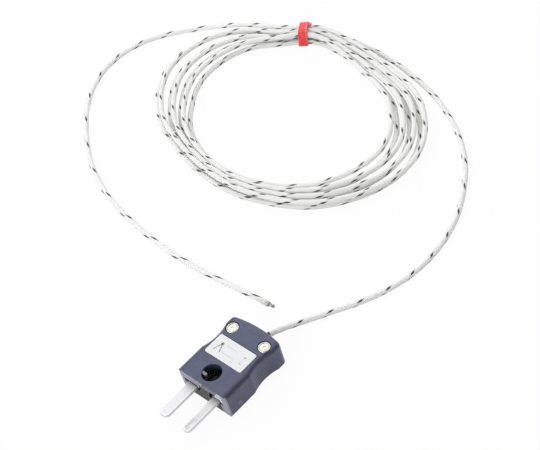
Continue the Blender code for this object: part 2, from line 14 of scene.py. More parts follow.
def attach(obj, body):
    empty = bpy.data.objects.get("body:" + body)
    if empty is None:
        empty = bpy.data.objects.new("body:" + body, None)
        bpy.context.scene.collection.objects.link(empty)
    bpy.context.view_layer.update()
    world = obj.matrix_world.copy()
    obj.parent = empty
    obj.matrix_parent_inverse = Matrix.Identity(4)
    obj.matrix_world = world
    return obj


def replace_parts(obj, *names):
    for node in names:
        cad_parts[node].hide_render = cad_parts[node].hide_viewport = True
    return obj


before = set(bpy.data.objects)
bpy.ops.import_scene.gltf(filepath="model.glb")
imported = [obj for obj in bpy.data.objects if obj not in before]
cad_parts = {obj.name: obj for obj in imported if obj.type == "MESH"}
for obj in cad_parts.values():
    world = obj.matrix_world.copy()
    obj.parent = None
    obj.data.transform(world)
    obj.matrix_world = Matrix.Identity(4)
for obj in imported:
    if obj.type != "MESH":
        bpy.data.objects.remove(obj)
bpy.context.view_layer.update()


# Lower shell of the plug, moulded in grey glass-filled plastic with pin channels, terminal seats, two screw
# posts and two pegs. It carries the pins and the wiring, and the cover is screwed down on it.
MM = 0.001
NEAR = 0.01
BODY_WIDTH = 16.2
BODY_LENGTH = 19.5
BODY_HEIGHT = 7.4
BASE_HEIGHT = 3.7
FRONT = -4.9
REAR_BOW = 0.9
BOW_STEPS = 12
WAIST_START = 8.3
WAIST_END = 16.8
WAIST_DEPTH = 0.8
WAIST_STEPS = 14
FRONT_CORNER = 0.4
REAR_CORNER = 1.1
BOTTOM_EDGE = 0.5
BOTTOM_FRONT_EDGE = 0.15
EDGE_STEPS = 7
CAVITY_START = 6.8
CAVITY_END = 18.4
BASE_CAVITY = 12.0
FLOOR_THICKNESS = 1.2
PIN_X = 3.95
SEAT_WIDTH = 4.6
SEAT_END = 12.4
SEAT_TOP = 3.1
TERMINAL_Y = 9.8
TERMINAL_BORE = 2.2
SCREW_X = 5.4
SCREW_Y = 16.5
POST = 4.4
PILOT = 2.0
BORE_FLOOR = 1.0
PEG_X = 6.95
PEG_Y = 3.0
PEG = 1.0
PEG_RISE = 1.0
HOLE_Y = 3.8
BASE_HOLE = 3.4
NEGATIVE_SLOT = (-6.8, -1.65)
POSITIVE_SLOT = (1.6, 6.25)
SLOT_HIGH = 4.9
SLIT = (-2.0, -1.66)
SLIT_HIGH = 5.7
SLIT_DEPTH = 1.2
SLIT_LEAN = 0.27
ENTRY_WIDTH = 5.0
ENTRY_HEIGHT = 2.2
ENTRY_Z = 3.65
ENTRY_ROUNDING = 1.0
PANEL = (-1.6, 3.2)
PANEL_LOW = 4.1
PANEL_HIGH = 7.1
PANEL_LEAN = 0.65
PANEL_DEPTH = 0.25
CHIN_HALF = 5.4
CHIN_TOP = 4.1
ROOT = 0.3


def along(y):
    """Row y of a place measured from the plug's front face."""
    return FRONT + y


def deselect():
    if bpy.context.object and bpy.context.object.mode != "OBJECT":
        bpy.ops.object.mode_set(mode="OBJECT")
    bpy.ops.object.select_all(action="DESELECT")


def hold(piece):
    """Makes a piece the only one selected."""
    deselect()
    bpy.context.view_layer.objects.active = piece
    piece.select_set(True)


def settle(name):
    """Names the primitive just added and puts its place into its mesh."""
    piece = bpy.context.object
    piece.name = name
    piece.data.name = name
    bpy.ops.object.transform_apply(location=True, rotation=True, scale=True)
    return piece


def box(name, low, high):
    """Box between two corners."""
    deselect()
    middle = [(a + b) / 2 * MM for a, b in zip(low, high)]
    size = [(b - a) * MM for a, b in zip(low, high)]
    bpy.ops.mesh.primitive_cube_add(size=1, location=middle, scale=size)
    return settle(name)


def disc(name, x, y, diameter, low, high, sides=48):
    deselect()
    middle = (x * MM, y * MM, (low + high) / 2 * MM)
    bpy.ops.mesh.primitive_cylinder_add(
        vertices=sides, radius=diameter / 2 * MM, depth=(high - low) * MM, location=middle)
    return settle(name)


def pick(kind, test):
    """In edit mode, selects the corners, edges or faces whose corner places, in a list, pass a test."""
    bpy.ops.mesh.select_mode(type=kind)
    bpy.ops.mesh.select_all(action="DESELECT")
    shape = bmesh.from_edit_mesh(bpy.context.edit_object.data)
    items = {"VERT": shape.verts, "EDGE": shape.edges, "FACE": shape.faces}[kind]
    for item in items:
        corners = [item] if kind == "VERT" else item.verts
        item.select_set(bool(test([corner.co / MM for corner in corners])))
    bmesh.update_edit_mesh(bpy.context.edit_object.data)


def upright(spots):
    return len({(round(p.x, 3), round(p.y, 3)) for p in spots}) == 1


def level(height):
    return lambda spots: all(abs(p.z - height) < NEAR for p in spots)


def round_edges(piece, test, radius, segments):
    """Rounds the edges of a piece that pass a test."""
    hold(piece)
    bpy.ops.object.mode_set(mode="EDIT")
    pick("EDGE", test)
    bpy.ops.mesh.bevel(offset=radius * MM, segments=segments, profile=0.5, affect="EDGES")
    bpy.ops.object.mode_set(mode="OBJECT")
    return piece


def soft_edges(piece, size_at, steps):
    """Rounds each edge of a piece by the size that a function gives for the places of its ends."""
    hold(piece)
    sizes = piece.data.attributes.new("bevel_weight_edge", "FLOAT", "EDGE")
    for edge in piece.data.edges:
        ends = [piece.data.vertices[end].co / MM for end in edge.vertices]
        sizes.data[edge.index].value = size_at(ends)
    bpy.ops.object.modifier_add(type="BEVEL")
    step = piece.modifiers[-1]
    step.limit_method = "WEIGHT"
    step.width = MM
    step.segments = steps
    step.use_clamp_overlap = False
    bpy.ops.object.modifier_apply(modifier=step.name)
    return piece


def fit(piece, tool, how):
    """Cuts a tool out of a piece, or joins it on, and takes the tool away."""
    hold(piece)
    bpy.ops.object.modifier_add(type="BOOLEAN")
    step = piece.modifiers[-1]
    step.operation = how
    step.solver = "EXACT"
    step.object = tool
    bpy.ops.object.modifier_apply(modifier=step.name)
    bpy.data.objects.remove(tool)


def cut(piece, tool):
    fit(piece, tool, "DIFFERENCE")


def join(piece, tool):
    fit(piece, tool, "UNION")


def smooth(piece, angle=32):
    """Shades a piece smooth up to an angle, with its flat faces kept flat."""
    hold(piece)
    bpy.ops.object.shade_smooth_by_angle(angle=radians(angle))
    bpy.ops.object.modifier_add(type="WEIGHTED_NORMAL")
    step = piece.modifiers[-1]
    step.keep_sharp = True
    bpy.ops.object.modifier_apply(modifier=step.name)


def body_block(name, low, high):
    """Plan shape of the plug between two heights: square front, waisted sides and a bowed back."""
    half = BODY_WIDTH / 2
    rear = along(BODY_LENGTH)
    piece = box(name, (-half, FRONT, low), (half, rear, high))
    bpy.ops.object.mode_set(mode="EDIT")
    chord = (WAIST_END - WAIST_START) / 2
    waist_radius = (chord ** 2 + WAIST_DEPTH ** 2) / (2 * WAIST_DEPTH)
    bow_radius = (half ** 2 + REAR_BOW ** 2) / (2 * REAR_BOW)
    for k in range(WAIST_STEPS + 1):
        station = along(WAIST_START + (WAIST_END - WAIST_START) * k / WAIST_STEPS)
        for side in (-1, 1):
            pick("FACE", lambda spots: all(abs(p.x - side * half) < NEAR for p in spots))
            bpy.ops.mesh.bisect(plane_co=(0, station * MM, 0), plane_no=(0, 1, 0))
    for k in range(1, BOW_STEPS):
        pick("FACE", lambda spots: all(abs(p.y - rear) < NEAR for p in spots))
        bpy.ops.mesh.bisect(plane_co=((2 * k / BOW_STEPS - 1) * half * MM, 0, 0), plane_no=(1, 0, 0))
    for k in range(1, WAIST_STEPS):
        station = WAIST_START + (WAIST_END - WAIST_START) * k / WAIST_STEPS
        aside = station - (WAIST_START + WAIST_END) / 2
        narrow = WAIST_DEPTH - waist_radius + sqrt(waist_radius ** 2 - aside ** 2)
        pick("VERT", lambda spots: abs(spots[0].y - along(station)) < NEAR)
        bpy.ops.transform.resize(value=(1 - narrow / half, 1, 1), center_override=(0, 0, 0))
    for k in range(1, BOW_STEPS):
        x = (2 * k / BOW_STEPS - 1) * half
        bulge = REAR_BOW - bow_radius + sqrt(bow_radius ** 2 - x ** 2)
        pick("VERT", lambda spots: abs(spots[0].x - x) < NEAR and abs(spots[0].y - rear) < NEAR)
        bpy.ops.transform.translate(value=(0, bulge * MM, 0))
    bpy.ops.object.mode_set(mode="OBJECT")
    return piece


def body_edges(rim, side_size, front_size):
    """Sizes of the plug's rounded edges: its four upright corners and the rim at one height."""
    def size_at(ends):
        at_side = abs(abs(ends[0].x) - BODY_WIDTH / 2) < NEAR
        at_front = all(abs(p.y - FRONT) < NEAR for p in ends)
        at_rear = all(abs(p.y - along(BODY_LENGTH)) < NEAR for p in ends)
        if upright(ends) and at_side and (at_front or at_rear):
            return FRONT_CORNER if at_front else REAR_CORNER
        if level(rim)(ends):
            return front_size if at_front else side_size
        return 0.0
    return size_at


def entry_tool():
    """Slot for the cable through the rear wall, shared by both halves."""
    low = (-ENTRY_WIDTH / 2, along(CAVITY_END - 1), ENTRY_Z - ENTRY_HEIGHT / 2)
    high = (ENTRY_WIDTH / 2, along(CAVITY_END + 4), ENTRY_Z + ENTRY_HEIGHT / 2)
    tool = box("entry_tool", low, high)
    return round_edges(tool, lambda spots: abs(spots[0].y - spots[1].y) > 1, ENTRY_ROUNDING, 8)


def front_tool(name, span, low, high, depth, lean):
    """Block that goes into the front face to a depth, with its upper end moved aside."""
    tool = box(name, (span[0], along(-1), low), (span[1], along(depth), high))
    bpy.ops.object.mode_set(mode="EDIT")
    pick("VERT", level(high))
    bpy.ops.transform.translate(value=(lean * (high - low) * MM, 0, 0))
    bpy.ops.object.mode_set(mode="OBJECT")
    return tool


def slot_tools():
    """Openings of the two pins in the front face, the slanted panel between them and a slit beside it."""
    for span in (NEGATIVE_SLOT, POSITIVE_SLOT):
        yield front_tool("slot_tool", span, SEAT_TOP, SLOT_HIGH, CAVITY_START + 1, 0)
    yield front_tool("panel_tool", PANEL, PANEL_LOW, PANEL_HIGH, PANEL_DEPTH, PANEL_LEAN)
    yield front_tool("slit_tool", SLIT, SEAT_TOP, SLIT_HIGH, SLIT_DEPTH, SLIT_LEAN)


class Finish:
    """One socket of a material. Sums and products of finishes add the Math nodes that they need."""

    def __init__(self, tree, socket=None):
        self.tree = tree
        self.socket = socket

    def node(self, kind, settings, values, output=0):
        made = self.tree.nodes.new("ShaderNode" + kind)
        for name, value in settings.items():
            setattr(made, name, value)
        for name, value in values.items():
            if isinstance(value, Finish):
                self.tree.links.new(value.socket, made.inputs[name])
            else:
                made.inputs[name].default_value = value
        return Finish(self.tree, made.outputs[output] if made.outputs else None)

    def sum(self, operation, first, second):
        return self.node("Math", {"operation": operation}, {0: first, 1: second})

    def __add__(self, other):
        return self.sum("ADD", self, other)

    def __radd__(self, other):
        return self.sum("ADD", other, self)

    def __sub__(self, other):
        return self.sum("SUBTRACT", self, other)

    def __rsub__(self, other):
        return self.sum("SUBTRACT", other, self)

    def __mul__(self, other):
        return self.sum("MULTIPLY", self, other)

    def __rmul__(self, other):
        return self.sum("MULTIPLY", other, self)

    def __mod__(self, other):
        return self.sum("FLOORED_MODULO", self, other)

    def __abs__(self):
        return self.sum("ABSOLUTE", self, 0.0)

    def ramp(self, low, high):
        """0 below low, 1 above high and smooth between; the other way round if low is the higher."""
        settings = {"interpolation_type": "SMOOTHSTEP"}
        if low < high:
            return self.node("MapRange", settings, {"Value": self, "From Min": low, "From Max": high})
        values = {"Value": self, "From Min": high, "From Max": low, "To Min": 1.0, "To Max": 0.0}
        return self.node("MapRange", settings, values)

    def mix(self, factor, first, second):
        """Colour between two colours."""
        values = {0: factor, 6: first, 7: second}
        return self.node("Mix", {"data_type": "RGBA"}, values, 2)

    def noise(self, place, scale, detail=2.0):
        return self.node("TexNoise", {}, {"Vector": place, "Scale": scale, "Detail": detail})

    def axes(self, place):
        """X, Y and Z of a place, in millimetres."""
        return [self.node("SeparateXYZ", {}, {0: place}, axis) * (1 / MM) for axis in "XYZ"]

    def stretched(self, place, stretch):
        return self.node("Mapping", {}, {"Vector": place, "Scale": stretch})

    def relief(self, height, depth, strength=1.0):
        """Bump of a depth in millimetres."""
        return self.node("Bump", {}, {"Height": height, "Distance": depth * MM, "Strength": strength})

    def surface(self, values):
        shader = self.node("BsdfPrincipled", {}, values)
        self.node("OutputMaterial", {}, {"Surface": shader})


def finish(name):
    """A new material, empty but for its object coordinates."""
    made = bpy.data.materials.new(name)
    made.use_nodes = True
    made.node_tree.nodes.clear()
    start = Finish(made.node_tree)
    return made, start, start.node("TexCoord", {}, {}, "Object")


GREY_DARK = (0.064, 0.074, 0.136, 1)
GREY_LIGHT = (0.094, 0.106, 0.190, 1)
RUBBED = (0.21, 0.22, 0.28, 1)
RIM_PAINTED_SHADE = (0.020, 0.023, 0.045, 1)
SKIN_PALE = (0.33, 0.33, 0.39, 1)
BROW_PAINTED_LIGHT = (0.62, 0.62, 0.69, 1)
SKIN_BROWN = (0.178, 0.170, 0.212, 1)
CHIN_DIRT_AND_SHADE = (0.020, 0.017, 0.018, 1)
FLINT = (0.44, 0.43, 0.46, 1)
HOLE_PAINTED_SHADE = (0.002, 0.002, 0.002, 1)
PIT_SQUARE = 6.5
RUB_Y = 3.6
RUB_Z = 2.0

shell_plastic, paint, place = finish("shell_plastic")
x_place, y_place, z_place = paint.axes(place)
grain = paint.noise(place, 7000.0, 3.0)
mottle = paint.noise(place, 420.0, 3.0)
from_rub_y = y_place - along(RUB_Y)
from_rub_z = z_place - RUB_Z
rub = (from_rub_y * from_rub_y + from_rub_z * from_rub_z).ramp(0.7, 0.1) * x_place.ramp(6.0, 7.0)
tone = paint.mix((0.4 * grain + 0.6 * mottle).ramp(0.3, 0.7), GREY_DARK, GREY_LIGHT)
tone = paint.mix(0.6 * rub, tone, RUBBED)
# Painted shade: the rounded top rims at both sides are darkened, standing in for the dark room that they
# reflect.
rim = abs(x_place).ramp(6.3, 7.3) * z_place.ramp(5.9, 6.7)
tone = paint.mix(0.55 * rim, tone, RIM_PAINTED_SHADE)
flecks = paint.noise(place, 2600.0, 4.0).ramp(0.52, 0.72)
leaning = x_place - PANEL_LEAN * (z_place - PANEL_LOW)
panel = leaning.ramp(PANEL[0] - 0.1, PANEL[0] + 0.05) * leaning.ramp(PANEL[1] + 0.05, PANEL[1] - 0.1)
# Painted shade and dirt: the front face below the pins is made near black, partly for the shade under the
# pins
# and partly as rough, dirty plastic.
chin = abs(x_place).ramp(CHIN_HALF + 0.2, CHIN_HALF - 0.2) * z_place.ramp(CHIN_TOP + 0.1, CHIN_TOP - 0.2)
# Painted light: the brow over the positive pin is made much paler, for the strong light that falls on it.
lit_brow = x_place.ramp(2.6, 3.4) * x_place.ramp(6.7, 6.2) * z_place.ramp(4.7, 5.0)
skin = paint.mix(lit_brow, SKIN_PALE, BROW_PAINTED_LIGHT)
skin = paint.mix(panel, skin, SKIN_BROWN)
skin = paint.mix(chin, skin, CHIN_DIRT_AND_SHADE)
skin = paint.mix(0.25 * flecks, skin, FLINT)
front = y_place.ramp(along(PANEL_DEPTH + 0.3), along(PANEL_DEPTH + 0.1)) * z_place.ramp(7.3, 7.15)
tone = paint.mix(front, tone, skin)
# Painted shade: the wall of the round hole is made near black, darkest deep down, for the shade inside it.
from_hole = y_place - along(HOLE_Y)
hole = (x_place * x_place + from_hole * from_hole).ramp(PIT_SQUARE + 0.35, PIT_SQUARE)
hole = hole * z_place.ramp(7.25, 7.0)
tone = paint.mix(hole * (0.6 + 0.4 * z_place.ramp(6.6, 5.2)), tone, HOLE_PAINTED_SHADE)
relief = paint.relief(grain + 2.0 * front * flecks, 0.004, 0.6)
rough = 0.16 + 0.08 * mottle + 0.32 * front + 0.4 * hole
paint.surface({"Base Color": tone, "Roughness": rough, "Normal": relief})

base = body_block("base_shell", 0, BASE_HEIGHT)
soft_edges(base, body_edges(0, BOTTOM_EDGE, BOTTOM_FRONT_EDGE), EDGE_STEPS)
cavity_half = BASE_CAVITY / 2
cavity_low = (-cavity_half, along(CAVITY_START), FLOOR_THICKNESS)
cut(base, box("cavity_tool", cavity_low, (cavity_half, along(CAVITY_END), BODY_HEIGHT)))
for side in (-1, 1):
    x = side * PIN_X
    seat_low = (x - SEAT_WIDTH / 2, along(CAVITY_START - ROOT), FLOOR_THICKNESS - ROOT)
    join(base, box("seat", seat_low, (x + SEAT_WIDTH / 2, along(SEAT_END), SEAT_TOP)))
    post = disc("post", side * SCREW_X, along(SCREW_Y), POST, FLOOR_THICKNESS - ROOT, BASE_HEIGHT - 0.1)
    join(base, post)
    peg = disc("peg", side * PEG_X, along(PEG_Y), PEG, BASE_HEIGHT - ROOT, BASE_HEIGHT + PEG_RISE, 24)
    join(base, round_edges(peg, level(BASE_HEIGHT + PEG_RISE), 0.2, 3))
    cut(base, disc("pilot", side * SCREW_X, along(SCREW_Y), PILOT, BORE_FLOOR, BODY_HEIGHT))
    cut(base, disc("terminal_bore", x, along(TERMINAL_Y), TERMINAL_BORE, BORE_FLOOR, BODY_HEIGHT))
for tool in slot_tools():
    cut(base, tool)
cut(base, disc("base_hole", 0, along(HOLE_Y), BASE_HOLE, -1, BODY_HEIGHT))
cut(base, entry_tool())
base.data.materials.append(shell_plastic)
smooth(base)
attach(base, "plug")
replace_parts(base, "plug_base")


# Two flat contact pins stamped from bright alloy strip, the wide one negative. Each has shoulders that stop
# against the shell, and inside the plug it widens to a tang with a hole for the terminal screw.
PIN_LENGTH = 10.6
PIN_LOW = 3.3
PIN_HIGH = 4.1
PIN_SHEET = 0.4
PIN_EDGE = 0.16
NEGATIVE_WIDTH = 3.2
POSITIVE_WIDTH = 2.4
TIP_ROUND = 0.41
LEFT_SHOULDER = 0.2
NEGATIVE_SHOULDER = 0.2
POSITIVE_SHOULDER = 0.75
SHOULDER_STEP = 0.03
SHOULDER_START = 0.25
SHOULDER_END = 1.6
TANG_WIDTH = 3.7
TANG_START = 7.3
TANG_END = 12.2
TANG_CORNER = 0.4

SILVER = (0.69, 0.69, 0.70, 1)
SILVER_WORN = (0.42, 0.42, 0.43, 1)

pin_metal, paint, place = finish("pin_metal")
rolled = paint.noise(paint.stretched(place, (1.0, 0.05, 1.0)), 9000.0, 3.0)
smears = paint.noise(paint.stretched(place, (1.0, 0.45, 1.0)), 900.0, 4.0)
x_place, y_place, z_place = paint.axes(place)
half = 0.5 * POSITIVE_WIDTH + 0.5 * (NEGATIVE_WIDTH - POSITIVE_WIDTH) * x_place.ramp(0.5, -0.5)
off_axis = abs(abs(x_place) - PIN_X)
past_root = paint.sum("MINIMUM", y_place - along(-PIN_LENGTH) - half, 0.0)
inset = half - paint.sum("POWER", off_axis * off_axis + past_root * past_root, 0.5)
stain = y_place.ramp(along(-2.5), along(-9.0)) * x_place.ramp(0.0, 1.0) * smears.ramp(0.3, 0.6)
worn = inset.ramp(0.15, 0.6) * (0.22 + 0.1 * smears + 0.5 * stain)
tone = paint.mix(worn, SILVER, SILVER_WORN)
rough = 0.4 + 0.06 * rolled + 0.1 * worn
relief = paint.relief(rolled, 0.001)
paint.surface({"Base Color": tone, "Metallic": 1.0, "Roughness": rough, "Normal": relief})


def make_pin(name, side, width, shoulder):
    x = side * PIN_X
    tip = along(-PIN_LENGTH)
    pin = box(name, (x - width / 2, tip, PIN_LOW), (x + width / 2, along(SHOULDER_END), PIN_HIGH))
    round_edges(pin, lambda spots: upright(spots) and spots[0].y < FRONT, TIP_ROUND * width, 10)
    round_edges(pin, lambda spots: not upright(spots), PIN_EDGE, 3)
    sheet_top = PIN_LOW + PIN_SHEET
    shoulder_low = (x - width / 2 - LEFT_SHOULDER, along(SHOULDER_START), PIN_LOW + SHOULDER_STEP)
    shoulder_high = (x + width / 2 + shoulder, along(SHOULDER_END - SHOULDER_STEP), PIN_HIGH - SHOULDER_STEP)
    join(pin, round_edges(box("shoulder", shoulder_low, shoulder_high), lambda spots: True, PIN_EDGE, 3))
    neck_low = (x - width / 2, along(SHOULDER_END - ROOT), PIN_LOW)
    join(pin, box("neck", neck_low, (x + width / 2, along(TANG_START + ROOT), sheet_top)))
    tang_low = (x - TANG_WIDTH / 2, along(TANG_START), PIN_LOW)
    tang = box("tang", tang_low, (x + TANG_WIDTH / 2, along(TANG_END), sheet_top))
    join(pin, round_edges(tang, upright, TANG_CORNER, 4))
    cut(pin, disc("tang_bore", x, along(TERMINAL_Y), TERMINAL_BORE, 0, BODY_HEIGHT))
    pin.data.materials.append(pin_metal)
    smooth(pin)
    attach(pin, "plug")
    return pin


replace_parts(make_pin("negative_blade", -1, NEGATIVE_WIDTH, NEGATIVE_SHOULDER), "negative_pin")
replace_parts(make_pin("positive_blade", 1, POSITIVE_WIDTH, POSITIVE_SHOULDER), "positive_pin")


# Lead: two insulated wires under one glass-fibre braid with a dark tracer yarn, 1.5 mm thick and about 1.9 m
# long. It lies on the table, and seven turns of it are wound into a tied coil, in below and out again above.
CABLE = 1.5
CABLE_SIDES = 14
RING_SPACING = 1.1
FLOOR_LINE = 0.78
COIL_CENTRE = (-52.5, 81.1)
LOOP_RADII = (40.7, 34.7, 28.5, 28.0, 30.6, 38.8, 40.3, 34.8, 30.2, 29.8, 33.0, 38.5)
LOOP_SPACING = (3.6, 2.25, 1.9, 4.75, 1.75, 1.8)
TURNS = 7
LOOP_POINTS = 48
LAYER_RISE = 1.95
LAYER_STAGGER = 0.64
TIGHT_SPACING = 1.7
BUNCHING = 0.13
BUNCH_STEP = 4.4
TIE_ANGLE = radians(124)
BUNDLE_RADIUS = 31.9
BUNDLE_SPACING = 1.7
BUNDLE_ROW = BUNDLE_SPACING * sin(radians(60))
BUNDLE_LIFT = 0.65
BUNDLE_REACH = 0.06
BUNDLE_PLACES = ((1, 0), (0.5, 1), (0, 0), (-1, 0), (-1, 2), (-0.5, 1), (0, 2), (1, 2))
BRAID_PITCH = (
    (0, 8.4), (30, 7.7), (50, 7.0), (75, 9.35), (125, 9.4), (170, 9.846), (1709.7, 9.846), (1754.7, 10.4),
    (1774.7, 8.55), (1814.7, 12.0), (1911.7, 12.9),
)
BRAID_STRANDS = 8
LEAD_ROUTE = (
    (1.3, 12.7, 3.65), (1.3, 15.2, 3.65), (1.4, 17.6, 3.5), (2.15, 21.0, 2.4), (3.3, 24.9, 1.1),
    (7.5, 31.9, 0.78), (11.7, 38.5, 0.78), (14.9, 45.3, 0.78), (16.8, 52.4, 0.78), (17.2, 59.5, 0.78),
    (16.3, 66.9, 0.78), (13.8, 74.8, 0.78), (9.7, 82.6, 0.78), (4.8, 89.6, 0.78), (-2.4, 96.7, 0.78),
    (-9.9, 102.0, 0.78), (-19.3, 107.0, 0.78), (-29.1, 110.4, 0.78), (-38.2, 112.7, 0.78),
    (-47.2, 114.0, 0.78), (-56.0, 114.3, 0.78), (-61.6, 113.6, 0.8), (-66.6, 111.9, 1.0),
)
TAIL_ROUTE = (
    (-75.9, 106.5, 4.25), (-81.5, 104.6, 4.0), (-87.2, 103.2, 3.4), (-93.1, 101.9, 2.1), (-98.4, 99.7, 1.2),
    (-103.6, 96.4, 0.78), (-110.4, 90.2, 0.78), (-115.7, 83.2, 0.78), (-118.3, 74.7, 0.78),
    (-117.6, 65.7, 0.78), (-113.2, 56.4, 0.78), (-105.9, 48.0, 0.78), (-96.7, 40.4, 0.78),
    (-87.7, 34.5, 0.78), (-75.6, 29.3, 0.78), (-63.9, 26.4, 0.78), (-51.9, 24.5, 0.78),
    (-39.7, 23.6, 0.78), (-28.1, 23.8, 0.78), (-16.9, 24.6, 0.78), (-7.7, 25.15, 0.78),
)


def eased(a, b, c, d, t):
    """Value a share t of the way from b to c on a smooth curve through four values."""
    return (2 * b + (c - a) * t + (2 * a - 5 * b + 4 * c - d) * t ** 2 + (3 * b - a - 3 * c + d) * t ** 3) / 2


def round_the_loop(values, angle):
    """Smooth value read at an angle from values given at even steps round a full turn."""
    count = len(values)
    on_ring = angle / (2 * pi) * count % count
    k = int(on_ring)
    return eased(*(values[(k + step) % count] for step in (-1, 0, 1, 2)), on_ring - k)


def coil_point(turn):
    """Centre of the cable after a number of turns: loose round the loop, and in a tight bundle at the tie."""
    angle = TIE_ANGLE + 2 * pi * turn
    half = TURNS / 2
    wound = abs(turn - half) - half / 2
    climb = min(max((turn - half) * 2 + 0.5, 0), 1)
    spacing = round_the_loop(LOOP_SPACING, angle)
    loose_radius = round_the_loop(LOOP_RADII, angle) + wound * spacing
    loose_radius += BUNCHING * (spacing - TIGHT_SPACING) * sin(BUNCH_STEP * turn)
    loose_radius += LAYER_STAGGER * (climb - 0.5) * cos(2 * angle)
    loose = Vector((loose_radius, LAYER_RISE * climb))
    at_tie = round(turn)
    across, row = BUNDLE_PLACES[at_tie]
    tied = Vector((BUNDLE_RADIUS + across * BUNDLE_SPACING, BUNDLE_LIFT + row * BUNDLE_ROW))
    radius, rise = loose.lerp(tied, exp(-((turn - at_tie) / BUNDLE_REACH) ** 2))
    x = COIL_CENTRE[0] + radius * cos(angle)
    y = COIL_CENTRE[1] + radius * sin(angle)
    return (x, y, FLOOR_LINE + rise)


def flowing(route, spacing):
    """Points at an even spacing on a smooth curve through a route."""
    spots = np.array(route, float)
    spots = np.vstack([2 * spots[0] - spots[1], spots, 2 * spots[-1] - spots[-2]])
    shares = np.linspace(0, 1, 24, endpoint=False)[:, None]
    dense = np.vstack([eased(*spots[k:k + 4], shares) for k in range(len(spots) - 3)] + [spots[-2:-1]])
    run = np.concatenate([[0], np.cumsum(np.linalg.norm(np.diff(dense, axis=0), axis=1))])
    reads = np.linspace(0, run[-1], max(2, round(run[-1] / spacing) + 1))
    return np.stack([np.interp(reads, run, dense[:, axis]) for axis in range(3)], 1)


def make_tube(name, points, diameter, sides, pitches):
    """Closed tube along points. Its UV map holds the share of the way round and the braid turns along it."""
    points = np.array(points, float)
    steps = np.linalg.norm(np.diff(points, axis=0), axis=1)
    run = np.concatenate([[0], np.cumsum(steps)])
    marks, values = np.array(pitches, float).T
    turns = np.concatenate([[0], np.cumsum(steps / np.interp(run[1:], marks, values))])
    ahead = np.gradient(points, axis=0)
    ahead /= np.linalg.norm(ahead, axis=1)[:, None]
    right = np.cross(ahead, (0, 0, 1))
    right /= np.linalg.norm(right, axis=1)[:, None]
    above = np.cross(right, ahead)
    round_it = 2 * pi * np.arange(sides) / sides
    rings = points[:, None] + diameter / 2 * (
        np.cos(round_it)[None, :, None] * right[:, None] + np.sin(round_it)[None, :, None] * above[:, None])
    spots = rings.reshape(-1, 3) * MM
    faces = []
    wraps = []
    for k in range(len(points) - 1):
        for j in range(sides):
            over = (j + 1) % sides
            faces.append((k * sides + j, k * sides + over, (k + 1) * sides + over, (k + 1) * sides + j))
            low, high = j / sides, (j + 1) / sides
            wraps += [(low, turns[k]), (high, turns[k]), (high, turns[k + 1]), (low, turns[k + 1])]
    last = (len(points) - 1) * sides
    faces.append(tuple(reversed(range(sides))))
    faces.append(tuple(range(last, last + sides)))
    wraps += [(0, 0.5)] * sides + [(0, turns[-1] + 0.5)] * sides
    mesh = bpy.data.meshes.new(name)
    mesh.from_pydata(spots.tolist(), [], faces)
    layer = mesh.uv_layers.new(name="braid")
    layer.data.foreach_set("uv", np.array(wraps, np.float32).ravel())
    mesh.shade_smooth()
    tube = bpy.data.objects.new(name, mesh)
    bpy.context.scene.collection.objects.link(tube)
    for cap in mesh.polygons[-2:]:
        cap.use_smooth = False
    return tube


GLASS_WHITE = (0.95, 0.95, 0.93, 1)
GLASS_SHADE = (0.89, 0.89, 0.86, 1)
GLASS_SCORCHED = (0.40, 0.39, 0.37, 1)
TRACER = (0.008, 0.008, 0.009, 1)
GLASS_DEPTH = 1.1
TRACER_PHASE = 0.117
TRACER_DASHES = 4
TRACER_GAP = 0.06
TRACER_DRIFT = 0.0006

glass_braid, paint, place = finish("glass_braid")
braid = paint.node("UVMap", {"uv_map": "braid"}, {})
wrap = paint.node("SeparateXYZ", {}, {0: braid}, "X")
turn = paint.node("SeparateXYZ", {}, {0: braid}, "Y")
right_lay = (wrap + turn) * BRAID_STRANDS
left_lay = (wrap - turn) * BRAID_STRANDS
right_ridge = 1.0 - abs(2.0 * (right_lay % 1.0) - 1.0)
left_ridge = 1.0 - abs(2.0 * (left_lay % 1.0) - 1.0)
over = ((0.5 * (right_lay - right_lay % 1.0) + 0.5 * (left_lay - left_lay % 1.0)) % 1.0).ramp(0.2, 0.3)
weave = over * right_ridge + (1.0 - over) * left_ridge
fibres = paint.noise(place, 5200.0, 2.0)
tracer = abs((wrap - turn - TRACER_PHASE) % 1.0 - 0.5).ramp(0.092, 0.062)
dash = abs((TRACER_DASHES * (wrap - TRACER_GAP - TRACER_DRIFT * turn)) % 1.0 - 0.5).ramp(0.32, 0.2)
tracer = tracer * (0.08 + 0.87 * dash) * turn.ramp(0.9, 1.1)
tone = paint.mix((0.7 * weave + 0.3 * fibres).ramp(0.05, 0.5), GLASS_SHADE, GLASS_WHITE)
x_place, y_place, z_place = paint.axes(place)
fray = x_place.ramp(-14.0, -8.0) * x_place.ramp(-2.0, -4.0) * y_place.ramp(40.0, 35.0)
tone = paint.mix(0.6 * fray * fibres.ramp(0.35, 0.65), tone, GLASS_SCORCHED)
tone = paint.mix(tracer, tone, TRACER)
relief = paint.relief(weave + 0.3 * fibres, 0.05, 0.16)
glass = {"Subsurface Weight": 0.9, "Subsurface Radius": (1, 1, 1), "Subsurface Scale": GLASS_DEPTH * MM}
paint.surface({"Base Color": tone, "Roughness": 0.62, "Normal": relief, **glass})

coil_points = [coil_point(k / LOOP_POINTS) for k in range(TURNS * LOOP_POINTS + 1)]
cable_route = flowing(list(LEAD_ROUTE) + coil_points + list(TAIL_ROUTE), RING_SPACING)
cable = make_tube("braided_cable", cable_route, CABLE, CABLE_SIDES, BRAID_PITCH)
cable.data.materials.append(glass_braid)
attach(cable, "plug")
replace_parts(cable, "cable_lead", "cable_coil", "cable_tail")


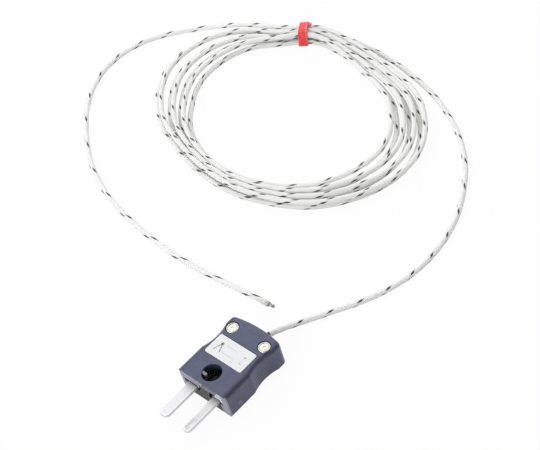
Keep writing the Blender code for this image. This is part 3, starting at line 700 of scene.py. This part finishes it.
# Legs of the two wires inside the plug, each in its own braid, with the bare conductor drawn out of it and
# laid beside the terminal screw under the clamp plate.
LEG = 0.9
LEG_PITCH = ((0, 6.0), (20, 6.0))
LEG_START = (1.3, 12.4)
LEG_ASIDE = 0.52
LEG_BEND_Y = 14.2
WIRE_ASIDE = 1.25
WIRE_Z = 4.0
CONDUCTOR = 0.4
WIRE_END_Y = 8.3

WIRE_PALE = (0.44, 0.43, 0.41, 1)
WIRE_DULL = (0.24, 0.23, 0.22, 1)

wire_metal, paint, place = finish("wire_metal")
drawn = paint.noise(paint.stretched(place, (1.0, 0.2, 1.0)), 6000.0, 3.0)
tone = paint.mix(drawn.ramp(0.35, 0.7), WIRE_PALE, WIRE_DULL)
relief = paint.relief(drawn, 0.004)
paint.surface({"Base Color": tone, "Metallic": 1.0, "Roughness": 0.3 + 0.2 * drawn, "Normal": relief})

for side, word in ((-1, "negative"), (1, "positive")):
    wire_x = side * (PIN_X + WIRE_ASIDE)
    leg_x = LEG_START[0] + side * LEG_ASIDE
    leg_route = (
        (leg_x, LEG_START[1], ENTRY_Z), (leg_x, LEG_START[1] - LEG, ENTRY_Z),
        ((wire_x + LEG_START[0]) / 2, along(LEG_BEND_Y), (WIRE_Z + ENTRY_Z) / 2),
        (wire_x, along(TANG_END) + LEG + 0.3, WIRE_Z), (wire_x, along(TANG_END) + 0.3, WIRE_Z),
    )
    leg = make_tube(f"{word}_sleeve", flowing(leg_route, 0.5), LEG, CABLE_SIDES, LEG_PITCH)
    leg.data.materials.append(glass_braid)
    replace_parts(leg, f"{word}_leg")
    bare_route = [(wire_x, along(y), WIRE_Z) for y in (TANG_END + 0.4, TERMINAL_Y, WIRE_END_Y)]
    bare = make_tube(f"{word}_wire", flowing(bare_route, 0.4), CONDUCTOR, 10, LEG_PITCH)
    bare.data.materials.append(wire_metal)
    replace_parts(bare, f"{word}_conductor")
    for piece in (leg, bare):
        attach(piece, "plug")


# Terminals: a square clamp plate with rounded corners lies on the wire, and a slotted cheese-head screw of
# plated steel goes through plate and tang into the shell.
CLAMP_SIZE = (3.6, 3.4)
CLAMP_LOW = 4.3
CLAMP_HIGH = 4.7
CLAMP_CORNER = 0.4
TERMINAL_HEAD = 3.4
TERMINAL_SEAT = 4.8
TERMINAL_TOP = 5.6
TERMINAL_SHANK = 1.8
TERMINAL_TIP = 1.5
THREAD_PITCH = 0.36
THREAD_DEPTH = 0.14
GROOVE = 0.5

STEEL = (0.79, 0.78, 0.74, 1)
STEEL_DULL = (0.62, 0.60, 0.53, 1)
STEEL_STAIN = (0.34, 0.33, 0.24, 1)
STAIN_INSIDE = (0.95, 1.15)
STAIN_OUTSIDE = (1.5, 1.3)
STAIN_LEVEL = (6.6, 6.8)

screw_metal, paint, place = finish("screw_metal")
plating = paint.noise(place, 2400.0, 3.0)
tone = paint.mix(plating.ramp(0.45, 0.75), STEEL, STEEL_DULL)
x_place, y_place, z_place = paint.axes(place)
from_x = abs(x_place) - SCREW_X
from_y = y_place - along(SCREW_Y)
reach = paint.sum("POWER", from_x * from_x + from_y * from_y, 0.5)
ring = reach.ramp(*STAIN_INSIDE) * reach.ramp(*STAIN_OUTSIDE) * z_place.ramp(*STAIN_LEVEL)
tone = paint.mix(ring * (0.4 + 0.6 * plating), tone, STEEL_STAIN)
relief = paint.relief(plating, 0.006)
paint.surface({"Base Color": tone, "Metallic": 1.0, "Roughness": 0.2 + 0.2 * plating, "Normal": relief})


def thread(radius, low, high):
    """Rings of a thread from its tip up, as (radius, height) pairs."""
    rings = [(radius - 2 * THREAD_DEPTH, low), (radius - THREAD_DEPTH, low + 0.2)]
    height = low + 0.2
    while height + THREAD_PITCH < high:
        rings += [(radius, height + THREAD_PITCH / 2), (radius - THREAD_DEPTH, height + THREAD_PITCH)]
        height += THREAD_PITCH
    return rings + [(radius - THREAD_DEPTH, high)]


def turned(name, x, y, rings, sides=40):
    """Round piece on an upright axis, drawn up ring by ring from (radius, height) pairs."""
    deselect()
    radius, height = rings[0]
    spot = (x * MM, y * MM, height * MM)
    bpy.ops.mesh.primitive_circle_add(vertices=sides, radius=radius * MM, fill_type="NGON", location=spot)
    piece = settle(name)
    bpy.ops.object.mode_set(mode="EDIT")
    bpy.ops.mesh.select_all(action="SELECT")
    for (radius, height), (wider, higher) in zip(rings, rings[1:]):
        bpy.ops.mesh.extrude_region_move(TRANSFORM_OT_translate={"value": (0, 0, (higher - height) * MM)})
        bpy.ops.transform.resize(value=(wider / radius, wider / radius, 1), center_override=spot)
    bpy.ops.mesh.select_all(action="SELECT")
    bpy.ops.mesh.normals_make_consistent(inside=False)
    bpy.ops.object.mode_set(mode="OBJECT")
    return piece


for side, word in ((-1, "negative"), (1, "positive")):
    x = side * PIN_X
    y = along(TERMINAL_Y)
    half_width, half_length = (size / 2 for size in CLAMP_SIZE)
    clamp_low = (x - half_width, y - half_length, CLAMP_LOW)
    clamp = box(f"{word}_clamp", clamp_low, (x + half_width, y + half_length, CLAMP_HIGH))
    round_edges(clamp, upright, CLAMP_CORNER, 4)
    round_edges(clamp, level(CLAMP_HIGH), 0.08, 2)
    cut(clamp, disc("clamp_bore", x, y, TERMINAL_BORE, 0, BODY_HEIGHT))
    rings = thread(TERMINAL_SHANK / 2, TERMINAL_TIP, TERMINAL_SEAT)
    head = TERMINAL_HEAD / 2
    rings += [(head, TERMINAL_SEAT), (head, TERMINAL_TOP - 0.25), (head - 0.08, TERMINAL_TOP - 0.1)]
    rings += [(head - 0.25, TERMINAL_TOP - 0.02), (head - 0.5, TERMINAL_TOP)]
    screw = turned(f"{word}_terminal", x, y, rings)
    groove_low = (x - TERMINAL_HEAD, y - GROOVE / 2, TERMINAL_TOP - GROOVE)
    cut(screw, box("groove", groove_low, (x + TERMINAL_HEAD, y + GROOVE / 2, BODY_HEIGHT)))
    for piece in (clamp, screw):
        piece.data.materials.append(screw_metal)
        smooth(piece)
    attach(clamp, "plug")
    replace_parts(clamp, f"{word}_clamp_plate")
    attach(screw, f"{word}_screw")
    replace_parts(screw, f"{word}_terminal_screw")


# Upper shell of the plug in the same plastic, with a round hole, a shallow seat for the label, two bosses for
# the screws and a small lip over the cable. It drops over the pegs of the base.
COVER_LOW = 3.72
TOP_EDGE = 1.0
FRONT_EDGE = 0.16
COVER_CAVITY = 12.9
ROOF = 6.2
COVER_HOLE = 5.1
HOLE_RIM = 0.1
RECESS = 3.56
RECESS_LOW = 6.25
LABEL_X = -0.2
LABEL_Y = 10.55
LABEL_WIDTH = 12.3
LABEL_LENGTH = 6.1
LABEL_CORNER = 0.5
LABEL_SEAT = 7.15
LABEL_ROOM = 0.16
LIP_LOW = (1.9, 19.7, 4.9)
LIP_HIGH = (2.6, 21.2, 5.9)

cover = body_block("cover_shell", COVER_LOW, BODY_HEIGHT)
soft_edges(cover, body_edges(BODY_HEIGHT, TOP_EDGE, FRONT_EDGE), EDGE_STEPS)
cavity_half = COVER_CAVITY / 2
cut(cover, box("cavity_tool", (-cavity_half, along(CAVITY_START), 0), (cavity_half, along(CAVITY_END), ROOF)))
for side in (-1, 1):
    x = side * SCREW_X
    y = along(SCREW_Y)
    join(cover, disc("boss", x, y, POST, COVER_LOW + 0.1, ROOF + ROOT))
    cut(cover, disc("passage", x, y, PILOT, 0, BODY_HEIGHT + 1))
    cut(cover, disc("recess", x, y, RECESS, RECESS_LOW, BODY_HEIGHT + 1))
    cut(cover, disc("socket", side * PEG_X, along(PEG_Y), PEG + 0.4, 0, BASE_HEIGHT + PEG_RISE + ROOT, 24))
for tool in slot_tools():
    cut(cover, tool)
cut(cover, disc("hole_tool", 0, along(HOLE_Y), COVER_HOLE, 0, BODY_HEIGHT + 1))
rim_size = COVER_HOLE + 4 * HOLE_RIM
rim = disc("rim_tool", 0, along(HOLE_Y), rim_size, BODY_HEIGHT - HOLE_RIM, BODY_HEIGHT + HOLE_RIM)
bpy.ops.object.mode_set(mode="EDIT")
pick("VERT", level(BODY_HEIGHT - HOLE_RIM))
shrink = COVER_HOLE / rim_size
bpy.ops.transform.resize(value=(shrink, shrink, 1), center_override=(0, along(HOLE_Y) * MM, 0))
bpy.ops.object.mode_set(mode="OBJECT")
cut(cover, rim)
half_width = LABEL_WIDTH / 2
half_length = LABEL_LENGTH / 2
seat_low = (LABEL_X - half_width - LABEL_ROOM, along(LABEL_Y - half_length - LABEL_ROOM), LABEL_SEAT)
seat_high = (LABEL_X + half_width + LABEL_ROOM, along(LABEL_Y + half_length + LABEL_ROOM), BODY_HEIGHT + 1)
cut(cover, round_edges(box("seat_tool", seat_low, seat_high), upright, LABEL_CORNER + LABEL_ROOM, 5))
cut(cover, entry_tool())
lip = box("lip", (LIP_LOW[0], along(LIP_LOW[1]), LIP_LOW[2]), (LIP_HIGH[0], along(LIP_HIGH[1]), LIP_HIGH[2]))
join(cover, round_edges(lip, lambda spots: True, 0.15, 3))
cover.data.materials.append(shell_plastic)
smooth(cover)
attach(cover, "cover")
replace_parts(cover, "plug_cover")


# Key of the round hole: a small nib of the same plastic that stands out from the hole's wall, so that
# only a holder with a matching groove goes in. Its colour is painted far paler than the shell, for the light
# on it.
KEY_LOW = (-2.9, 2.45, 6.1)
KEY_HIGH = (-1.05, 3.2, 7.2)
KEY_SLOPE = 0.35

NIB_PAINTED_LIGHT = (0.34, 0.33, 0.42, 1)
NIB_DARK = (0.20, 0.20, 0.27, 1)

nib_plastic_painted_lit, paint, place = finish("nib_plastic_painted_lit")
grain = paint.noise(place, 5000.0, 3.0)
# Painted light: the nib's tones are much paler than the shell plastic, for the light that falls on it.
tone = paint.mix(grain.ramp(0.4, 0.7), NIB_PAINTED_LIGHT, NIB_DARK)
paint.surface({"Base Color": tone, "Roughness": 0.4 + 0.1 * grain, "Normal": paint.relief(grain, 0.02, 0.6)})

key_low = (KEY_LOW[0], along(KEY_LOW[1]), KEY_LOW[2])
key = box("hole_key", key_low, (KEY_HIGH[0], along(KEY_HIGH[1]), KEY_HIGH[2]))
bpy.ops.object.mode_set(mode="EDIT")
pick("VERT", lambda spots: spots[0].x > KEY_HIGH[0] - NEAR and spots[0].z > KEY_HIGH[2] - NEAR)
bpy.ops.transform.translate(value=(0, 0, -KEY_SLOPE * MM))
bpy.ops.object.mode_set(mode="OBJECT")
round_edges(key, lambda spots: min(p.x for p in spots) > KEY_LOW[0] + NEAR, 0.15, 3)
key.data.materials.append(nib_plastic_painted_lit)
smooth(key)
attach(key, "cover")


# Label: a white plastic plate glued into its seat, printed with the two polarity signs beside their pins,
# with the general sign of a junction, two legs that meet in a dot, and with two plain rules.
LABEL_LOW = 7.25
LABEL_HIGH = 7.45
LABEL_EDGE = 0.06
SIGN_X = 3.95
SIGN_REACH = 0.4
SIGN_LINE = 0.09
PLUS_Y = 11.4
MINUS_Y = 9.4
JUNCTION_X = -3.75
JUNCTION_Y = 10.3
LEG_HEIGHT = 1.2
LEG_LEAN = 0.42
DOT = 0.42
RULES = ((-0.85, 11.65, 1.6), (-0.15, 9.5, 2.0))
RULE_LINE = 0.12
PRINT_EDGE = 0.03

CARD = (0.90, 0.915, 0.95, 1)
CARD_WARM = (0.87, 0.88, 0.915, 1)
INK = (0.045, 0.045, 0.05, 1)

label_card, paint, place = finish("label_card")
x_place, y_place, z_place = paint.axes(place)


def bar(x, y, reach_x, reach_y):
    """Printed bar, as a mask with slightly soft edges."""
    across = abs(x_place - x).ramp(reach_x + PRINT_EDGE, reach_x - PRINT_EDGE)
    return across * abs(y_place - along(y)).ramp(reach_y + PRINT_EDGE, reach_y - PRINT_EDGE)


def leg_stroke(side):
    """One leg of the junction sign, which leans to the dot over the middle."""
    down = JUNCTION_Y - (y_place - FRONT)
    slanted = abs(x_place - JUNCTION_X - side * LEG_LEAN * (down + LEG_HEIGHT)).ramp(0.17, 0.09)
    return slanted * abs(down).ramp(LEG_HEIGHT + PRINT_EDGE, LEG_HEIGHT - PRINT_EDGE)


signs = bar(SIGN_X, MINUS_Y, SIGN_REACH, SIGN_LINE)
signs = signs + bar(SIGN_X, PLUS_Y, SIGN_REACH, SIGN_LINE) + bar(SIGN_X, PLUS_Y, SIGN_LINE, SIGN_REACH)
rules = bar(*RULES[0], RULE_LINE) + bar(*RULES[1], RULE_LINE)
dot_x = x_place - JUNCTION_X
dot_y = y_place - along(JUNCTION_Y + LEG_HEIGHT)
dot = (dot_x * dot_x + dot_y * dot_y).ramp(DOT ** 2 * 1.2, DOT ** 2 * 0.8)
ink = paint.sum("MINIMUM", 0.5 * signs + 0.22 * rules + 0.85 * (leg_stroke(-1) + leg_stroke(1) + dot), 0.9)
aged = paint.noise(place, 500.0, 3.0)
tone = paint.mix(aged.ramp(0.45, 0.8), CARD, CARD_WARM)
tone = paint.mix(ink, tone, INK)
paint.surface({"Base Color": tone, "Roughness": 0.4 + 0.15 * aged, "Normal": paint.relief(aged, 0.01)})

label_low = (LABEL_X - LABEL_WIDTH / 2, along(LABEL_Y) - LABEL_LENGTH / 2, LABEL_LOW)
label_high = (LABEL_X + LABEL_WIDTH / 2, along(LABEL_Y) + LABEL_LENGTH / 2, LABEL_HIGH)
label = round_edges(box("label_card", label_low, label_high), upright, LABEL_CORNER, 6)
round_edges(label, level(LABEL_HIGH), LABEL_EDGE, 2)
label.data.materials.append(label_card)
smooth(label)
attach(label, "cover")
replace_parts(label, "label_plate")


# Cover screws: two small plated screws with a dished head and a cross recess, sunk into the cover and driven
# into the posts of the base.
COVER_HEAD = 3.4
COVER_SEAT = 6.35
COVER_TOP = 7.35
COVER_SHANK = 1.6
COVER_TIP = 1.6
HEAD_SHAPE = (
    (0, 0.4), (0.05, 0.2), (0.16, 0.07), (0.3, 0), (0.42, 0), (0.52, 0.05), (0.62, 0.13), (0.74, 0.15),
    (0.86, 0.1), (1.0, 0.06), (1.3, 0.04),
)
CROSS_REACH = 1.7
CROSS_WIDTH = 0.34
CROSS_DEPTH = 0.3
CROSS_TURN = 33

for side, word in ((-1, "left"), (1, "right")):
    x = side * SCREW_X
    y = along(SCREW_Y)
    head = COVER_HEAD / 2
    rings = thread(COVER_SHANK / 2, COVER_TIP, COVER_SEAT)
    rings += [(head, COVER_SEAT)] + [(head - inward, COVER_TOP - down) for inward, down in HEAD_SHAPE]
    screw = turned(f"{word}_screw", x, y, rings)
    for k in range(2):
        wing_low = (x - CROSS_REACH / 2, y - CROSS_WIDTH / 2, COVER_TOP - CROSS_DEPTH)
        wing = box("wing", wing_low, (x + CROSS_REACH / 2, y + CROSS_WIDTH / 2, COVER_TOP + 1))
        hold(wing)
        bpy.ops.object.mode_set(mode="EDIT")
        pick("VERT", level(COVER_TOP - CROSS_DEPTH))
        bpy.ops.transform.resize(value=(0.35, 0.6, 1), center_override=(x * MM, y * MM, 0))
        bpy.ops.mesh.select_all(action="SELECT")
        quarter = radians(CROSS_TURN + 90 * k)
        bpy.ops.transform.rotate(value=quarter, orient_axis="Z", center_override=(x * MM, y * MM, 0))
        bpy.ops.object.mode_set(mode="OBJECT")
        cut(screw, wing)
    screw.data.materials.append(screw_metal)
    smooth(screw, 40)
    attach(screw, f"{word}_cover_screw")
    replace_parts(screw, f"cover_screw_{word}")


# Band that ties the coil: a strip of glossy red plastic wrapped once round all the strands, with its end
# lapped over the top and a stub of it left standing out beside the wrap.
BAND_WIDTH = 2.8
BAND_THICKNESS = 0.45
BAND_ROOM = 0.15
BAND_CORNER = 1.2
BAND_SLIP = 0.5
BAND_LEAN = 0.6
LAP = 0.15
STUB = 0.9

TIE_RED = (0.97, 0.03, 0.03, 1)
TIE_PINK_HIGHLIGHT = (0.98, 0.24, 0.26, 1)

strands = np.array([coil_point(k) for k in range(TURNS + 1)])
ahead = Vector(coil_point(0.002)) - Vector(coil_point(-0.002))
ahead.z = 0
ahead.normalize()
outward = Vector((ahead.y, -ahead.x, 0))
across = (strands - strands[0]) @ np.array(outward)
band_half = (across.max() - across.min()) / 2 + CABLE / 2 + BAND_ROOM
band_low = strands[:, 2].min() - CABLE / 2 - BAND_ROOM
band_high = strands[:, 2].max() + CABLE / 2 + BAND_ROOM
band_middle = Vector(strands[0]) + outward * (across.max() + across.min()) / 2 - ahead * BAND_SLIP
rise = (band_high - band_low) / 2
wide = BAND_WIDTH / 2

tie_plastic, paint, place = finish("tie_plastic")
x_place, y_place, z_place = paint.axes(place)
streaks = paint.noise(place, 700.0, 3.0)
aside = ahead.x * (x_place - band_middle.x) + ahead.y * (y_place - band_middle.y)
# Painted highlight: the band is made pink along both edges of the strip, for the gleam on the glossy red.
# The pink streaks elsewhere are paler at random.
rim = abs(aside + BAND_LEAN / 2).ramp(wide - 0.5, wide - 0.1)
tone = paint.mix(0.35 * streaks.ramp(0.4, 0.75) + 0.65 * rim, TIE_RED, TIE_PINK_HIGHLIGHT)
paint.surface({"Base Color": tone, "Roughness": 0.22 + 0.2 * streaks, "Normal": paint.relief(streaks, 0.04)})

outer_low = (-band_half - BAND_THICKNESS, -wide, -rise - BAND_THICKNESS)
band = box("tie_band", outer_low, [-value for value in outer_low])


def along_band(spots):
    return abs(spots[0].y - spots[1].y) > BAND_WIDTH / 2


round_edges(band, along_band, BAND_CORNER, 8)
bore = box("band_bore", (-band_half, -BAND_WIDTH, -rise), (band_half, BAND_WIDTH, rise))
cut(band, round_edges(bore, along_band, BAND_CORNER - BAND_THICKNESS, 6))
lap_top = rise + BAND_THICKNESS + LAP
lap = box("lap", (-band_half + 1, -wide + LAP, rise + LAP), (band_half - 0.6, wide - LAP, lap_top))
join(band, round_edges(lap, along_band, LAP, 3))
stub_low = (band_half - 1.6, -wide - STUB, rise - 0.1)
stub = box("stub", stub_low, (band_half - 0.7, -wide + 0.5, rise + BAND_THICKNESS - 0.05))
join(band, round_edges(stub, lambda spots: True, LAP, 3))
round_edges(band, lambda spots: all(abs(abs(p.y) - wide) < NEAR for p in spots), 0.12, 2)
hold(band)
bpy.ops.object.mode_set(mode="EDIT")
pick("VERT", lambda spots: spots[0].z > 0)
bpy.ops.transform.translate(value=(0, -BAND_LEAN * MM, 0))
bpy.ops.object.mode_set(mode="OBJECT")
band.matrix_world = Matrix((
    (outward.x, ahead.x, 0, band_middle.x * MM), (outward.y, ahead.y, 0, band_middle.y * MM),
    (0, 0, 1, (band_low + rise) * MM), (0, 0, 0, 1)))
hold(band)
bpy.ops.object.transform_apply(location=True, rotation=True, scale=True)
bpy.ops.object.mode_set(mode="EDIT")
bpy.ops.mesh.select_all(action="SELECT")
bpy.ops.mesh.normals_make_consistent(inside=False)
bpy.ops.object.mode_set(mode="OBJECT")
band.data.materials.append(tie_plastic)
smooth(band, 40)
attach(band, "plug")
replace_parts(band, "coil_tie")


# Measuring tip: the two bare wires leave the cut braid side by side and are fused into one welded bead, which
# is the exposed junction of the thermocouple.
TIP_WIRE = 0.36
TIP_SPREAD = 0.36
TIP_REACH = 0.85
BEAD = 0.9

BEAD_GREY = (0.44, 0.43, 0.41, 1)
BEAD_DARK = (0.22, 0.21, 0.20, 1)

bead_metal, paint, place = finish("bead_metal")
heat = paint.noise(place, 3200.0, 3.0)
tone = paint.mix(heat.ramp(0.4, 0.7), BEAD_GREY, BEAD_DARK)
relief = paint.relief(heat, 0.03)
paint.surface({"Base Color": tone, "Metallic": 1.0, "Roughness": 0.3 + 0.25 * heat, "Normal": relief})

sheath_end = Vector(cable_route[-1])
ahead = (sheath_end - Vector(cable_route[-2])).normalized()
aside = Vector((-ahead.y, ahead.x, 0)).normalized()
bead_spot = sheath_end + ahead * (TIP_REACH + 0.15 + BEAD / 2)
for side, word in ((-1, "negative"), (1, "positive")):
    start = sheath_end - ahead * 0.6 + aside * side * TIP_SPREAD
    straight = sheath_end + ahead * 0.2 + aside * side * TIP_SPREAD
    meet = bead_spot - ahead * 0.3 + aside * side * (TIP_WIRE / 2)
    wire = make_tube(f"{word}_tip", flowing([start, straight, meet], 0.2), TIP_WIRE, 10, LEG_PITCH)
    wire.data.materials.append(wire_metal)
    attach(wire, "plug")
    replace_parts(wire, f"{word}_tip_wire")
deselect()
bpy.ops.mesh.primitive_uv_sphere_add(
    segments=24, ring_count=14, radius=BEAD / 2 * MM, location=bead_spot * MM)
bead = settle("weld_bead")
bpy.ops.object.mode_set(mode="EDIT")
pick("VERT", lambda spots: (spots[0] - bead_spot).dot(ahead) < -0.1)
bpy.ops.transform.resize(value=(0.86, 0.86, 0.86), center_override=(bead_spot - ahead * 0.25) * MM)
pick("VERT", lambda spots: (spots[0] - bead_spot).dot(aside) > 0.2)
bpy.ops.transform.translate(value=aside * 0.04 * MM)
bpy.ops.object.mode_set(mode="OBJECT")
bpy.ops.object.shade_smooth()
bead.data.materials.append(bead_metal)
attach(bead, "plug")
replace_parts(bead, "junction_bead")


# Studio: a white table under a wide soft lamp at the back, with smaller ones at the left, the front and the
# right, a pale wall at the far left and weak light from all round. The camera sees the table and the room as
# white, and the table keeps a share of its shadow.
TABLE_SIZE = 4.0
SHADOW_SHARE = 0.06
GLEAM_SHARE = 0.75
ROOM_LIGHT = 0.26
ROOM_GLEAM = 0.3
LAMPS = (
    ("back_lamp", (-0.40, 0.38, 0.62), 1.1, 3.5), ("left_lamp", (-0.36, -0.21, 0.43), 0.5, 0.7),
    ("front_lamp", (-0.02, -0.60, 0.40), 0.5, 2.2), ("right_lamp", (0.24, 0.80, 0.45), 0.6, 1.2),
    ("left_wall", (-0.90, 0.40, 0.22), 0.8, 1.6),
)

white_table, paint, place = finish("white_table")
seen = (1 - SHADOW_SHARE) * paint.node("LightPath", {}, {}, "Is Camera Ray")
seen = seen + GLEAM_SHARE * paint.node("LightPath", {}, {}, "Is Glossy Ray")
seen = seen + GLEAM_SHARE * paint.node("LightPath", {}, {}, "Is Transmission Ray")
matt = paint.node("BsdfDiffuse", {}, {"Color": (0.93, 0.93, 0.93, 1)})
glow = paint.node("Emission", {}, {"Color": (1, 1, 1, 1), "Strength": 1.0})
blend = paint.node("MixShader", {}, {0: seen, 1: matt, 2: glow})
paint.node("OutputMaterial", {}, {"Surface": blend})

deselect()
bpy.ops.mesh.primitive_plane_add(size=TABLE_SIZE, location=(0, 0, -0.02 * MM))
table = settle("table")
table.data.materials.append(white_table)

room = bpy.data.worlds.new("white_room")
room.use_nodes = True
room.node_tree.nodes.clear()
paint = Finish(room.node_tree)
seen = paint.node("LightPath", {}, {}, "Is Camera Ray")
seen = seen + ROOM_GLEAM * paint.node("LightPath", {}, {}, "Is Glossy Ray")
seen = seen + ROOM_GLEAM * paint.node("LightPath", {}, {}, "Is Transmission Ray")
strength = ROOM_LIGHT + (1 - ROOM_LIGHT) * seen
light = paint.node("Background", {}, {"Color": (1, 1, 1, 1), "Strength": strength})
paint.node("OutputWorld", {}, {"Surface": light})
bpy.context.scene.world = room

for name, spot, size, power in LAMPS:
    bpy.ops.object.light_add(type="AREA", location=spot)
    lamp = bpy.context.object
    lamp.name = name
    lamp.rotation_euler = (-Vector(spot)).to_track_quat("-Z", "Y").to_euler()
    lamp.data.size = size
    lamp.data.energy = power
bpy.context.scene.view_settings.view_transform = "Standard"


# Camera: a 90 mm lens that looks down on the plug from its front right, turned a little about its own axis.
LENS = 90
SENSOR = 36
CAMERA_PLACE = Vector((183.6, -97.4, 252.1))
ELEVATION = radians(44.72)
AZIMUTH = radians(55.76)
ROLL = radians(17.73)

sight = Vector((-sin(AZIMUTH) * cos(ELEVATION), cos(AZIMUTH) * cos(ELEVATION), -sin(ELEVATION)))
level_right = sight.cross(Vector((0, 0, 1))).normalized()
level_down = sight.cross(level_right)
image_right = cos(ROLL) * level_right + sin(ROLL) * level_down
image_down = cos(ROLL) * level_down - sin(ROLL) * level_right
bpy.ops.object.camera_add(location=CAMERA_PLACE * MM)
camera = bpy.context.object
camera.name = "view_camera"
camera.rotation_euler = Matrix((image_right, -image_down, -sight)).transposed().to_euler()
camera.data.lens = LENS
camera.data.sensor_width = SENSOR
camera.data.sensor_fit = "HORIZONTAL"
camera.data.clip_start = 0.01
bpy.context.scene.camera = camera
